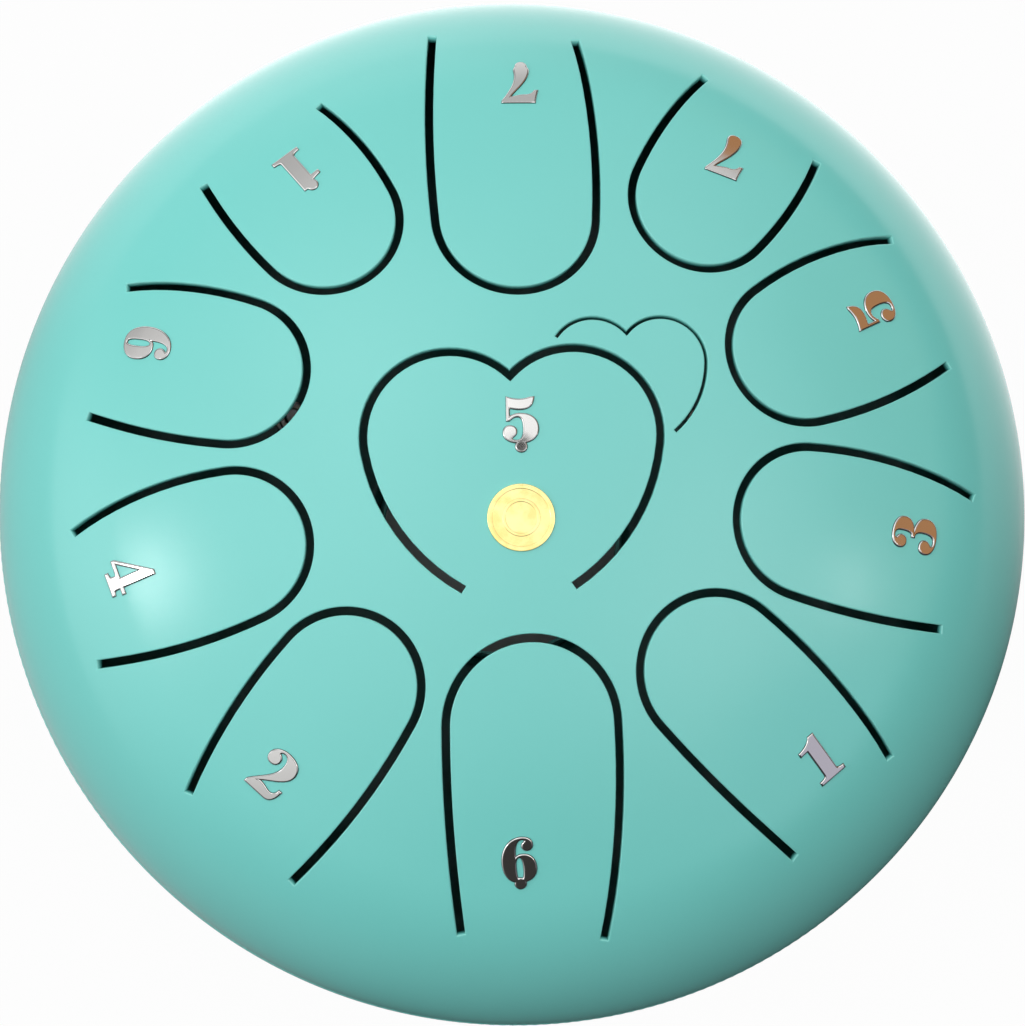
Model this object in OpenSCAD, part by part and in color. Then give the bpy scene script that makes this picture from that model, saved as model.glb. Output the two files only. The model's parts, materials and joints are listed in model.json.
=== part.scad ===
// Steel tongue drum: two steel shells joined at the waist, ten tongues round the rim, a heart
// tongue at the crown, raised note numerals, and three rubber feet screwed under the pan.
// The origin is the middle of the footprint, on the surface that the feet stand on.

/* [Shell] */
// Diameter at the waist
drum_d = 254; // [244:1:290]
// Height of the straight band round the waist
band_h = 8; // [6:0.5:20]
// Bend radius of the upper shoulder
shoulder_r = 47; // [42:0.5:52]
// Radius of the spherical crown
dome_r = 255; // [230:1:320]
// Bend radius between the lower wall and the pan
bowl_r = 50; // [40:0.5:52]
// Thickness of the steel sheet
sheet_t = 1.8; // [1.2:0.1:2.2]

/* [Waist seam] */
// Width of the weld between the two shells
weld_w = 1.6; // [1:0.1:2.4]
// Height of the weld's crown above the wall
weld_crown = 0.25; // [0.1:0.05:0.4]
// Height of the lip that reaches up inside the upper shell
lip_h = 4.6; // [3:0.1:4.8]
// Gap between the lip and the upper shell
lip_gap = 0.05; // [0.03:0.01:0.1]

/* [Sound hole] */
// Bore of the sound hole in the pan
port_d = 60; // [40:1:70]
// Radius of its rolled edge
port_bend_r = 5; // [3:0.5:6]
// Height of the neck above the roll
port_neck_h = 3; // [2:0.5:6]

/* [Tongues] */
// Width of the slots
slot_w = 2; // [1.2:0.1:2.6]
// Distance from the waist in to the circle where the tongues spring
root_inset = 19; // [16:0.5:22]
// Width of the steel between the slots of two neighbouring tongues
web_w = 3.4; // [2:0.1:6]
// Gap that stands for the flexing root of a tongue
root_gap = 0.03; // [0.02:0.01:0.06]

/* [Hearts] */
// Radius of each lobe of the heart tongue
heart_lobe_r = 20.5; // [18:0.1:21]
// Radius of each lobe of the small heart beside it
charm_lobe_r = 10.7; // [9:0.1:11]
// Width of the thin slit that draws the small heart
charm_slit_w = 0.8; // [0.6:0.1:1]

/* [Numerals] */
// Height of a numeral without an octave dot
numeral_h = 12; // [10:0.1:12.5]
// Thickness of the numerals and of the badge
sticker_t = 0.4; // [0.3:0.05:0.8]
// Diameter of the round badge under the middle numeral
badge_d = 16; // [10:0.5:17]

/* [Feet] */
// Height of the rubber feet
foot_h = 13; // [10:0.5:18]
// Diameter of a foot at the sole
foot_d = 24; // [18:0.5:28]
// Distance from a foot's edge out to where the pan starts to bend up
foot_inset = 3; // [1:0.5:14]
// Diameter of the screws
screw_d = 4; // [3:0.1:5]

/* [Hidden] */

$fn = 180;
// Number of facets of the small turned pieces
small_fn = 64;
// Steps that round tips, legs and digit curves are drawn with
tip_steps = 16;
leg_steps = 4;
lobe_steps = 14;
charm_steps = 10;
curve_steps = 4;
// Overrun of every cut past the faces that it goes through
over = 1;
// Sweep under which a leg is drawn straight
straight_sweep = 0.01;

// The shells
drum_r = drum_d / 2;
pan_z = foot_h;
bowl_c_r = drum_r - bowl_r;
bowl_c_z = pan_z + bowl_r;
shoulder_c_r = drum_r - shoulder_r;
shoulder_z = bowl_c_z + band_h;
seam_z = bowl_c_z + band_h / 2;
crown_lean = asin(shoulder_c_r / (dome_r - shoulder_r));
dome_c_z = shoulder_z - sqrt(pow(dome_r - shoulder_r, 2) - pow(shoulder_c_r, 2));
apex_z = dome_c_z + dome_r;
lip_r = drum_r - sheet_t - lip_gap;
port_r = port_d / 2;
foot_circle_r = bowl_c_r - foot_inset - foot_d / 2;

// The slots and the tongues
root_r = drum_r - root_inset;

// Each tongue: bearing of its tip, share of root_r at the tip's centre, share of tip_r, then for
// the anticlockwise leg and the clockwise leg the angle out to its root, the root's share of
// root_r and the angle round the tip where the leg joins it
tongue_shares = [
    ["low_6", -89.9, 0.549, 1.133, [9.7, 1.019, 85], [8.3, 1.005, 91]],
    ["1", -46.3, 0.589, 1.027, [9.9, 1.009, 81], [7.6, 1.016, 90]],
    ["3", -8.5, 0.624, 1.006, [7.8, 1.007, 82], [10.1, 0.979, 82]],
    ["5", 26.2, 0.672, 1.002, [8.5, 1.009, 77], [9.4, 0.995, 79]],
    ["7", 58.5, 0.745, 0.98, [8.1, 1.031, 83], [9.8, 0.997, 78]],
    ["low_7", 93.4, 0.588, 1.073, [8, 1.057, 88], [9.7, 1.033, 83]],
    ["high_1", 128.4, 0.733, 0.985, [8.7, 0.987, 85], [9.8, 0.976, 77]],
    ["6", 160.5, 0.7, 0.989, [10.9, 0.985, 77], [6.7, 0.993, 88]],
    ["4", -166.4, 0.674, 1.015, [9.4, 1.028, 79], [7.2, 1.011, 83]],
    ["2", -131.1, 0.621, 0.999, [10.7, 1.021, 77], [6.2, 1.012, 89]]
];

// Radius of the round tips, which fit side by side round a ring at a share of root_r
tip_ring_share = 0.62;
tip_r = root_r * tip_ring_share * sin(180 / len(tongue_shares)) - (slot_w + web_w) / 2;

// The hearts: both cusps in shares of heart_lobe_r, and for each heart, from its cusp and in shares
// of its own lobe's radius, the middle of the right lobe and the right root. The joins are the
// bearings round a lobe where the legs start, and the cut is where the left lobe of the small
// heart ends
heart_turn = 2.5;
heart_cusp_share = [-0.275, 1.13];
heart_lobe_share = [0.722, -0.686];
heart_root_share = [0.635, -2.46];
heart_join = -8;
charm_cusp_share = [1.088, 1.66];
charm_lobe_share = [0.769, -0.624];
charm_root_share = [0.967, -2.24];
charm_join = -3.6;
charm_cut = 35;

// The numerals: digit, place of its octave dot in shares of numeral_h or 0 for none, bearing,
// place as a share of root_r, and turn of the digit
numeral_shares = [
    ["low_5", 5, [0.02, -0.53], 105.2, 0.119, 0.8],
    ["low_6", 6, [0, -0.48], -91.6, 0.835, 7],
    ["low_7", 7, [-0.06, -0.44], 91.3, 0.905, 181],
    ["1", 1, 0, -42.8, 0.884, 40],
    ["2", 2, 0, -130.7, 0.855, -42],
    ["3", 3, 0, -7.1, 0.866, 79.5],
    ["4", 4, 0, -166.8, 0.902, -69],
    ["5", 5, 0, 27.2, 0.867, 117.5],
    ["6", 6, 0, 160.1, 0.896, -100.5],
    ["7", 7, 0, 59.1, 0.87, 161.5],
    ["high_1", 1, [-0.08, 0.45], 126.8, 0.864, -142]
];
badge_place_share = [-0.0285, -0.1];

// Digit outlines in shares of the numeral's height, and how much each digit from 1 to 7 is drawn
// wider, and one with a dot lower. Each step of an outline is a line to one point, or a curve
// through two handles to its end
digit_mid_share = [0.36, 0.5];
digit_w_shares = [1, 1.02, 1.035, 0.94, 1, 0.925, 1.035];
dotted_h_share = 0.917;
dot_d_share = 0.22;
one_shares = [[
    [[0.02, 0]], [[0.62, 0]], [[0.62, 0.07]], [[0.52, 0.08], [0.47, 0.09], [0.47, 0.15]],
    [[0.47, 1]], [[0.35, 1]], [[0.28, 0.9], [0.16, 0.86], [0, 0.84]], [[0, 0.77]],
    [[0.18, 0.78]], [[0.18, 0.15]], [[0.18, 0.09], [0.12, 0.08], [0.02, 0.07]]
]];
two_shares = [[
    [[0.02, 0]], [[0.02, 0.06]], [[0.14, 0.26], [0.42, 0.46], [0.42, 0.74]],
    [[0.42, 0.88], [0.36, 0.95], [0.28, 0.95]], [[0.24, 0.95], [0.2, 0.93], [0.2, 0.9]],
    [[0.2, 0.87], [0.3, 0.86], [0.3, 0.76]], [[0.3, 0.68], [0.24, 0.63], [0.16, 0.63]],
    [[0.08, 0.63], [0.03, 0.69], [0.03, 0.77]], [[0.03, 0.9], [0.16, 1], [0.34, 1]],
    [[0.56, 1], [0.7, 0.9], [0.7, 0.73]], [[0.7, 0.5], [0.4, 0.38], [0.2, 0.2]],
    [[0.32, 0.24], [0.42, 0.16], [0.52, 0.16]], [[0.6, 0.16], [0.64, 0.22], [0.65, 0.31]],
    [[0.71, 0.31]], [[0.7, 0.12], [0.64, 0], [0.5, 0]]
]];
three_shares = [[
    [[0.3, 0.5]], [[0.4, 0.5], [0.43, 0.42], [0.43, 0.28]],
    [[0.43, 0.12], [0.38, 0.05], [0.28, 0.05]], [[0.24, 0.05], [0.2, 0.07], [0.2, 0.1]],
    [[0.2, 0.13], [0.29, 0.15], [0.29, 0.24]], [[0.29, 0.32], [0.23, 0.36], [0.16, 0.36]],
    [[0.08, 0.36], [0.03, 0.31], [0.03, 0.22]], [[0.03, 0.08], [0.16, 0], [0.35, 0]],
    [[0.58, 0], [0.71, 0.1], [0.71, 0.27]], [[0.71, 0.42], [0.6, 0.51], [0.42, 0.53]],
    [[0.58, 0.56], [0.66, 0.64], [0.66, 0.76]], [[0.66, 0.91], [0.54, 1], [0.34, 1]],
    [[0.16, 1], [0.06, 0.92], [0.06, 0.8]], [[0.06, 0.72], [0.11, 0.67], [0.18, 0.67]],
    [[0.25, 0.67], [0.3, 0.72], [0.3, 0.79]], [[0.3, 0.87], [0.22, 0.88], [0.22, 0.91]],
    [[0.22, 0.94], [0.26, 0.95], [0.29, 0.95]], [[0.37, 0.95], [0.4, 0.88], [0.4, 0.76]],
    [[0.4, 0.62], [0.38, 0.56], [0.3, 0.56]]
]];
four_shares = [[
    [[0.2, 0]], [[0.7, 0]], [[0.7, 0.06]], [[0.63, 0.07], [0.6, 0.08], [0.6, 0.13]],
    [[0.6, 0.22]], [[0.74, 0.22]], [[0.74, 0.28]], [[0.6, 0.28]], [[0.6, 1]], [[0.51, 1]],
    [[0, 0.28]], [[0, 0.22]], [[0.32, 0.22]], [[0.32, 0.13]],
    [[0.32, 0.08], [0.28, 0.07], [0.2, 0.06]]
], [
    [[0.32, 0.28]], [[0.32, 0.64]], [[0.07, 0.28]]
]];
five_shares = [[
    [[0.1, 0.48]], [[0.15, 0.48]], [[0.2, 0.54], [0.26, 0.57], [0.31, 0.57]],
    [[0.41, 0.57], [0.43, 0.47], [0.43, 0.3]], [[0.43, 0.12], [0.38, 0.05], [0.28, 0.05]],
    [[0.24, 0.05], [0.2, 0.07], [0.2, 0.1]], [[0.2, 0.13], [0.29, 0.15], [0.29, 0.25]],
    [[0.29, 0.33], [0.23, 0.37], [0.16, 0.37]], [[0.08, 0.37], [0.03, 0.31], [0.03, 0.22]],
    [[0.03, 0.08], [0.16, 0], [0.35, 0]], [[0.58, 0], [0.72, 0.12], [0.72, 0.32]],
    [[0.72, 0.52], [0.58, 0.64], [0.38, 0.64]], [[0.28, 0.64], [0.2, 0.61], [0.15, 0.56]],
    [[0.15, 0.76]], [[0.24, 0.74], [0.3, 0.73], [0.36, 0.73]],
    [[0.54, 0.73], [0.62, 0.82], [0.64, 1]], [[0.58, 1]],
    [[0.48, 0.96], [0.4, 0.95], [0.34, 0.95]], [[0.26, 0.95], [0.18, 0.97], [0.1, 1]]
]];
six_shares = [[
    [[0.6, 0], [0.73, 0.12], [0.73, 0.31]], [[0.73, 0.5], [0.62, 0.62], [0.45, 0.62]],
    [[0.38, 0.62], [0.33, 0.6], [0.3, 0.56]], [[0.3, 0.82], [0.36, 0.95], [0.47, 0.95]],
    [[0.51, 0.95], [0.54, 0.94], [0.54, 0.92]], [[0.54, 0.9], [0.46, 0.88], [0.46, 0.8]],
    [[0.46, 0.74], [0.51, 0.7], [0.57, 0.7]], [[0.64, 0.7], [0.69, 0.75], [0.69, 0.82]],
    [[0.69, 0.93], [0.59, 1], [0.45, 1]], [[0.18, 1], [0.01, 0.76], [0.01, 0.46]],
    [[0.01, 0.18], [0.14, 0], [0.37, 0]]
], [
    [[0.31, 0.05], [0.29, 0.14], [0.29, 0.3]],
    [[0.29, 0.47], [0.31, 0.56], [0.38, 0.56]], [[0.44, 0.56], [0.46, 0.47], [0.46, 0.31]],
    [[0.46, 0.14], [0.44, 0.05], [0.38, 0.05]]
]];
seven_shares = [[
    [[0.06, 1]], [[0.05, 0.9], [0.03, 0.8], [0, 0.68]], [[0.06, 0.68]],
    [[0.1, 0.76], [0.16, 0.8], [0.26, 0.8]], [[0.36, 0.8], [0.44, 0.84], [0.54, 0.86]],
    [[0.46, 0.68], [0.18, 0.46], [0.16, 0.14]], [[0.16, 0.02], [0.26, 0], [0.31, 0]],
    [[0.4, 0], [0.45, 0.06], [0.44, 0.16]], [[0.4, 0.46], [0.52, 0.66], [0.7, 0.96]],
    [[0.7, 1]]
]];
digit_shares = [one_shares, two_shares, three_shares, four_shares, five_shares, six_shares, seven_shares];

// The badge: a round plate with a raised rim and a raised ring
badge_rim_w = 1.2;
badge_ring_d = 9;
badge_ring_w = 0.8;
badge_plate_t = 0.25;

// The feet and their fasteners
foot_bearings = [-90, 150, 30];
foot_edge_r = 1.5;
foot_taper = 1;
screw_head_d = 8;
screw_head_h = 2.6;
screw_recess_d = 4.4;
screw_recess_w = 1;
screw_recess_h = 1.4;
screw_edge_r = 1.2;
screw_clear = 0.3;
washer_d = 9;
washer_t = 0.8;
nut_af = 7;
nut_h = 3.2;
nut_gap = 0.1;
screw_end = 1.6;
sink_d = screw_head_d + 2 * screw_clear;
sink_h = 2 * screw_head_h;
pan_top_z = pan_z + sheet_t;
washer_top_z = pan_top_z + washer_t;
nut_top_z = washer_top_z + nut_h;
head_z = sink_h - screw_head_h;

// Unit vector at a bearing
function ray(b) = [cos(b), sin(b)];

// Point of the heart's own plan, turned and moved to its cusp
function placed(p, turn, cusp) =
    cusp + [p.x * cos(turn) - p.y * sin(turn), p.x * sin(turn) + p.y * cos(turn)];

// Point and heading at a share of the arc that leaves a along the heading h and ends at b
function on_leg(a, h, b, share) =
    let (chord = b - a, sweep = asin(cross(ray(h), chord) / norm(chord)))
    let (part = abs(sweep) < straight_sweep ? share : sin(sweep * share) / sin(sweep))
    [a + norm(chord) * part * ray(h + sweep * share), h + 2 * sweep * share];

// Row of a table that starts with a name
function row(table, name) = [for (r = table) if (r[0] == name) r][0];

// Middle line of a tongue's slot, from the anticlockwise root round the tip to the clockwise one
function slot_line(t) =
    let (
        middle = root_r * t[2] * ray(t[1]),
        r = tip_r * t[3],
        root_a = root_r * t[4][1] * ray(t[1] + t[4][0]),
        root_b = root_r * t[5][1] * ray(t[1] - t[5][0]),
        join_a = t[1] + 180 - t[4][2],
        join_b = t[1] + 180 + t[5][2]
    )
    concat(
        [for (i = [leg_steps : -1 : 1])
            let (s = on_leg(middle + r * ray(join_a), join_a - 90, root_a, i / leg_steps))
            [s[0], s[1] + 180]],
        [for (i = [0 : tip_steps])
            let (a = join_a + (join_b - join_a) * i / tip_steps)
            [middle + r * ray(a), a + 90]],
        [for (i = [1 : leg_steps])
            on_leg(middle + r * ray(join_b), join_b + 90, root_b, i / leg_steps)]
    );

// One edge of a slot, at a distance to the left of its middle line, with both ends kept on the
// line between the roots
function slot_edge(line, reach) =
    let (
        last = len(line) - 1,
        across = line[last][0] - line[0][0],
        e = across / norm(across)
    )
    [for (k = [0 : last])
        let (p = line[k][0], h = line[k][1])
        k == 0 || k == last ? p + e * reach / cross(ray(h), e) : p + reach * ray(h + 90)];

// Right half of a heart's outline at a distance inside its middle line, from its root to the cusp
function half_heart(lobe_r, lobe_share, root_share, join, reach, steps) =
    let (
        c = lobe_r * lobe_share,
        r = norm(c),
        end = lobe_r * root_share,
        inner_r = r - reach,
        top = acos(-c.x / inner_r)
    )
    concat(
        [for (i = [leg_steps : -1 : 1])
            let (s = on_leg(c + r * ray(join), join - 90, end, i / leg_steps), h = s[1] + 180)
            i == leg_steps ? s[0] - [reach / sin(h), 0] : s[0] + reach * ray(h + 90)],
        [for (i = [0 : steps]) c + inner_r * ray(join + (top - join) * i / steps)]
    );

// The left half that belongs to a right half, from the cusp on
function mirrored(points) = [for (k = [len(points) - 2 : -1 : 0]) [-points[k].x, points[k].y]];

// Outline of the heart tongue's slot on one side of its middle line
function heart_edge(reach) =
    let (half = half_heart(heart_lobe_r, heart_lobe_share, heart_root_share, heart_join, reach, lobe_steps))
    [for (p = concat(half, mirrored(half))) placed(p, heart_turn, heart_lobe_r * heart_cusp_share)];

// One edge of the slit of the small heart: its right half, and its left lobe as far as the cut
function charm_edge(reach) =
    let (
        half = half_heart(charm_lobe_r, charm_lobe_share, charm_root_share, charm_join, reach, charm_steps),
        c = charm_lobe_r * charm_lobe_share,
        r = norm(c) - reach,
        top = acos(-c.x / r),
        lobe = [for (i = [1 : charm_steps]) c + r * ray(top + (charm_cut - top) * i / charm_steps)]
    )
    [for (p = concat(half, [for (q = lobe) [-q.x, q.y]]))
        placed(p, heart_turn, heart_lobe_r * charm_cusp_share)];

function reversed(points) = [for (k = [len(points) - 1 : -1 : 0]) points[k]];

// Outline of the opening that a tongue leaves in the shell
function opening_points(name) =
    name == "low_5" ? heart_edge(-slot_w / 2) : slot_edge(slot_line(row(tongue_shares, name)), -slot_w / 2);

// Outline of a tongue, drawn back at its root by the root gap
function tongue_points(name) =
    let (
        edge = name == "low_5"
            ? heart_edge(slot_w / 2)
            : slot_edge(slot_line(row(tongue_shares, name)), slot_w / 2),
        last = len(edge) - 1,
        across = edge[last] - edge[0],
        inward = root_gap * [across.y, -across.x] / norm(across)
    )
    [for (k = [0 : last]) k == 0 || k == last ? edge[k] + inward : edge[k]];

// Height of the upper shell's outer face, and its slope, at a distance from the axis
function dome_z(r) =
    r < dome_r * sin(crown_lean)
        ? dome_c_z + sqrt(dome_r * dome_r - r * r)
        : shoulder_z + sqrt(shoulder_r * shoulder_r - pow(r - shoulder_c_r, 2));
function dome_slope(r) =
    r < dome_r * sin(crown_lean) ? asin(r / dome_r) : asin((r - shoulder_c_r) / shoulder_r);

function cubic(a, b, c, d, t) =
    pow(1 - t, 3) * a + 3 * pow(1 - t, 2) * t * b + 3 * (1 - t) * t * t * c + t * t * t * d;

// Points of an outline that is written as lines and curves
function outline(steps) =
    [for (k = [0 : len(steps) - 1])
        let (s = steps[k], before = steps[(k + len(steps) - 1) % len(steps)], a = before[len(before) - 1])
        each len(s) == 1
            ? s
            : [for (i = [1 : curve_steps]) cubic(a, s[0], s[1], s[2], i / curve_steps)]];

// Half section of all that lies inside the upper shell's outer face, or inside a face at a depth
// below it. The shoulder's circle touches the crown's on the line through both their middles
module crown_filled(depth) {
    dome_c = [0, dome_c_z];
    shoulder_c = [shoulder_c_r, shoulder_z];
    past_rim = dome_c + 2 * (shoulder_c - dome_c);
    intersection() {
        translate([0, shoulder_z]) square(2 * drum_r);
        union() {
            translate(shoulder_c) circle(shoulder_r - depth);
            intersection() {
                translate(dome_c) circle(dome_r - depth);
                polygon([dome_c, past_rim, dome_c + [0, 2 * dome_r]]);
            }
        }
    }
}

// Half section of a layer of the upper shell between two depths below its outer face
module crown_section(depth_a, depth_b) {
    difference() {
        crown_filled(depth_a);
        crown_filled(depth_b);
    }
}

// Such a layer all the way round, down to the waist band
module crown_layer(depth_a, depth_b) {
    rotate_extrude() crown_section(depth_a, depth_b);
}

// The part of such a layer that lies within a reach of one place, given by bearing and distance
// from the axis
module crown_patch(bearing, r, reach, depth_a, depth_b) {
    turn = r > reach ? 2 * asin(reach / r) : 360;
    rotate([0, 0, bearing - turn / 2]) rotate_extrude(angle = turn) intersection() {
        crown_section(depth_a, depth_b);
        translate([max(0, r - reach), shoulder_z]) square([2 * reach, apex_z]);
    }
}

// Straight cut through the dome
module through_dome(points) {
    translate([0, 0, shoulder_z]) linear_extrude(apex_z - shoulder_z + over) polygon(points);
}

module upper_shell() {
    color("mediumturquoise") difference() {
        rotate_extrude() union() {
            crown_section(0, sheet_t);
            translate([drum_r - sheet_t, seam_z + weld_w / 2])
                square([sheet_t, shoulder_z - seam_z - weld_w / 2]);
        }
        for (t = tongue_shares) through_dome(opening_points(t[0]));
        through_dome(opening_points("low_5"));
        through_dome(concat(charm_edge(-charm_slit_w / 2), reversed(charm_edge(charm_slit_w / 2))));
    }
}

module tongue(name) {
    color("turquoise") intersection() {
        crown_layer(0, sheet_t);
        through_dome(tongue_points(name));
    }
}

// Lower half: flat pan with its rolled sound hole, rounded wall and joggled lip
module lower_shell() {
    lip_top_z = seam_z + lip_h;
    joggle_z = seam_z - weld_w / 2;
    color("mediumturquoise") difference() {
        rotate_extrude() union() {
            translate([port_r, pan_z + port_bend_r]) square([sheet_t, port_neck_h]);
            intersection() {
                translate([port_r + port_bend_r, pan_z + port_bend_r]) difference() {
                    circle(port_bend_r);
                    circle(port_bend_r - sheet_t);
                }
                translate([port_r, pan_z]) square(port_bend_r);
            }
            translate([port_r + port_bend_r, pan_z])
                square([bowl_c_r - port_r - port_bend_r, sheet_t]);
            intersection() {
                translate([bowl_c_r, bowl_c_z]) difference() {
                    circle(bowl_r);
                    circle(bowl_r - sheet_t);
                }
                translate([bowl_c_r, pan_z]) square(bowl_r);
            }
            polygon([
                [drum_r - sheet_t, bowl_c_z],
                [drum_r, bowl_c_z],
                [drum_r, joggle_z],
                [lip_r, joggle_z],
                [lip_r, lip_top_z],
                [lip_r - sheet_t, lip_top_z],
                [lip_r - sheet_t, joggle_z],
                [drum_r - sheet_t, joggle_z - sheet_t]
            ]);
        }
        at_feet() translate([0, 0, pan_z - over])
            cylinder(d = screw_d + screw_clear, h = sheet_t + 2 * over, $fn = small_fn);
    }
}

// Bead that fills the groove between the two shells and stands a little proud
module seam_weld() {
    bead_r = (weld_w * weld_w / 4 + weld_crown * weld_crown) / (2 * weld_crown);
    color("mediumturquoise") rotate_extrude() union() {
        translate([lip_r, seam_z - weld_w / 2]) square([drum_r - lip_r, weld_w]);
        intersection() {
            translate([drum_r + weld_crown - bead_r, seam_z]) circle(bead_r);
            translate([drum_r, seam_z - weld_w / 2]) square(weld_w);
        }
    }
}

// A digit with its octave dot, flat, with its middle at the origin
module digit_plan(digit, dot) {
    scale([digit_w_shares[digit - 1], dot == 0 ? 1 : dotted_h_share]) difference() {
        polygon([for (p = outline(digit_shares[digit - 1][0])) numeral_h * (p - digit_mid_share)]);
        for (k = [1 : 1 : len(digit_shares[digit - 1]) - 1])
            polygon([for (p = outline(digit_shares[digit - 1][k])) numeral_h * (p - digit_mid_share)]);
    }
    if (dot != 0)
        translate(numeral_h * dot) circle(d = dot_d_share * numeral_h, $fn = small_fn);
}

// Places a flat shape square to the dome, at a bearing and a distance from the axis
module on_dome(bearing, r, turn) {
    rotate([0, 0, bearing]) translate([r, 0, dome_z(r)]) rotate([0, dome_slope(r), 0])
        rotate([0, 0, turn - bearing]) children();
}

module numeral(name) {
    n = row(numeral_shares, name);
    r = root_r * n[4];
    color("silver") intersection() {
        crown_patch(n[3], r, numeral_h, -sticker_t, 0);
        on_dome(n[3], r, n[5]) translate([0, 0, -numeral_h / 4])
            linear_extrude(numeral_h / 2) digit_plan(n[1], n[2]);
    }
}

// Round gold badge: a thin plate with a raised rim and one raised ring
module gold_badge() {
    place = root_r * badge_place_share;
    module raised(d, w, depth_a, depth_b) {
        intersection() {
            crown_layer(depth_a, depth_b);
            translate([place.x, place.y, shoulder_z]) difference() {
                cylinder(d = d, h = apex_z, $fn = small_fn);
                if (w > 0) cylinder(d = d - 2 * w, h = apex_z, $fn = small_fn);
            }
        }
    }
    color("gold") union() {
        raised(badge_d, 0, -badge_plate_t, 0);
        raised(badge_d, badge_rim_w, -sticker_t, -badge_plate_t);
        raised(badge_ring_d, badge_ring_w, -sticker_t, -badge_plate_t);
    }
}

// Repeats a shape on the axis of each foot
module at_feet() {
    for (b = foot_bearings) rotate([0, 0, b]) translate([foot_circle_r, 0, 0]) children();
}

// Half section of a disc whose lower edge is rounded and whose top is drawn in
module disc_section(r, h, edge_r, taper) {
    polygon([[0, 0], [r - edge_r, 0], [r - edge_r, edge_r], [r, edge_r], [r - taper, h], [0, h]]);
    translate([r - edge_r, 0]) intersection() {
        translate([0, edge_r]) circle(edge_r);
        square(edge_r);
    }
}

// Rubber foot with a stepped hole for its screw
module foot(k) {
    color("dimgray") rotate([0, 0, foot_bearings[k]]) translate([foot_circle_r, 0, 0])
        difference() {
            rotate_extrude($fn = small_fn) disc_section(foot_d / 2, foot_h, foot_edge_r, foot_taper);
            translate([0, 0, -over]) cylinder(d = sink_d, h = sink_h + over, $fn = small_fn);
            cylinder(d = screw_d + screw_clear, h = foot_h + over, $fn = small_fn);
        }
}

// Pan-head screws that come up through the feet and the pan
module foot_screws() {
    color("silver") at_feet() translate([0, 0, head_z]) difference() {
        union() {
            rotate_extrude($fn = small_fn)
                disc_section(screw_head_d / 2, screw_head_h, screw_edge_r, 0);
            cylinder(d = screw_d, h = nut_top_z + screw_end - head_z, $fn = small_fn);
        }
        for (turn = [0, 90]) rotate([0, 0, turn])
            translate([-screw_recess_d / 2, -screw_recess_w / 2, -over])
                cube([screw_recess_d, screw_recess_w, screw_recess_h + over]);
    }
}

module foot_washers() {
    color("lightgray") at_feet() translate([0, 0, pan_top_z]) difference() {
        cylinder(d = washer_d, h = washer_t, $fn = small_fn);
        translate([0, 0, -over])
            cylinder(d = screw_d + screw_clear, h = washer_t + 2 * over, $fn = small_fn);
    }
}

module foot_nuts() {
    color("silver") at_feet() translate([0, 0, washer_top_z]) difference() {
        cylinder(d = nut_af / cos(30), h = nut_h, $fn = 6);
        translate([0, 0, -over]) cylinder(d = screw_d + nut_gap, h = nut_h + 2 * over, $fn = small_fn);
    }
}

upper_shell();
lower_shell();
seam_weld();
tongue("low_5");  // tongue_low_5
tongue("low_6");  // tongue_low_6
tongue("low_7");  // tongue_low_7
tongue("1");  // tongue_1
tongue("2");  // tongue_2
tongue("3");  // tongue_3
tongue("4");  // tongue_4
tongue("5");  // tongue_5
tongue("6");  // tongue_6
tongue("7");  // tongue_7
tongue("high_1");  // tongue_high_1
numeral("low_5");  // numeral_low_5
numeral("low_6");  // numeral_low_6
numeral("low_7");  // numeral_low_7
numeral("1");  // numeral_1
numeral("2");  // numeral_2
numeral("3");  // numeral_3
numeral("4");  // numeral_4
numeral("5");  // numeral_5
numeral("6");  // numeral_6
numeral("7");  // numeral_7
numeral("high_1");  // numeral_high_1
gold_badge();
foot(0);  // foot_front
foot(1);  // foot_rear_left
foot(2);  // foot_rear_right
foot_screws();
foot_washers();
foot_nuts();
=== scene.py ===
"""Steel tongue drum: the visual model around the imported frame.

The crown is made as a maker would make it: a flat blank is slotted, its slot edges are rounded, the
tongues are parted from it along their root lines, and the blank is pressed to the dome. The other
pieces are turned from sections or cut from plates. Lengths are in metres.
"""

import json
import logging
import math
from dataclasses import dataclass, field
from enum import Enum
from functools import reduce
from typing import Any, Callable, Iterable, Sequence

import bmesh
import bpy
import numpy as np
from mathutils import Matrix, Vector

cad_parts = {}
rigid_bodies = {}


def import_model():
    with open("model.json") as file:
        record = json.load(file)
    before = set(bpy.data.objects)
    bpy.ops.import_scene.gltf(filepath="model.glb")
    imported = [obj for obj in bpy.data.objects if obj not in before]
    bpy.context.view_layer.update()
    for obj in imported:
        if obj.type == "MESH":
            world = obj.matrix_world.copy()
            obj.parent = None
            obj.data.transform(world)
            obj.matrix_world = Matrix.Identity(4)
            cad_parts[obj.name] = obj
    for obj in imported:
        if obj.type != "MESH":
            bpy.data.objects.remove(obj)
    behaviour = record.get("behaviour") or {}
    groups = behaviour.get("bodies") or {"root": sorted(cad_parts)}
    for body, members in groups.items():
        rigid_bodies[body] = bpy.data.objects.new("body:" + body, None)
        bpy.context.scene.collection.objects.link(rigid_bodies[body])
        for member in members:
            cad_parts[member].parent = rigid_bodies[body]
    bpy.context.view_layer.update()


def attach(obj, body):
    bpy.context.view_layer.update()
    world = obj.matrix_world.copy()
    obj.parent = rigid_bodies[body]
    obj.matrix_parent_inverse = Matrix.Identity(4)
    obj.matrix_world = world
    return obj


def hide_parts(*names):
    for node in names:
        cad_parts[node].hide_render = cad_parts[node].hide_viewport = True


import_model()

MM = 0.001
BODY = "drum"
HEART_R = 20.5 * MM
log = logging.getLogger("tongue_drum")

# Points closer than this count as one, and TINY keeps a quotient finite. Both are in metres.
NEAR = 1e-7
TINY = 1e-12

Point = tuple[float, float]


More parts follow.
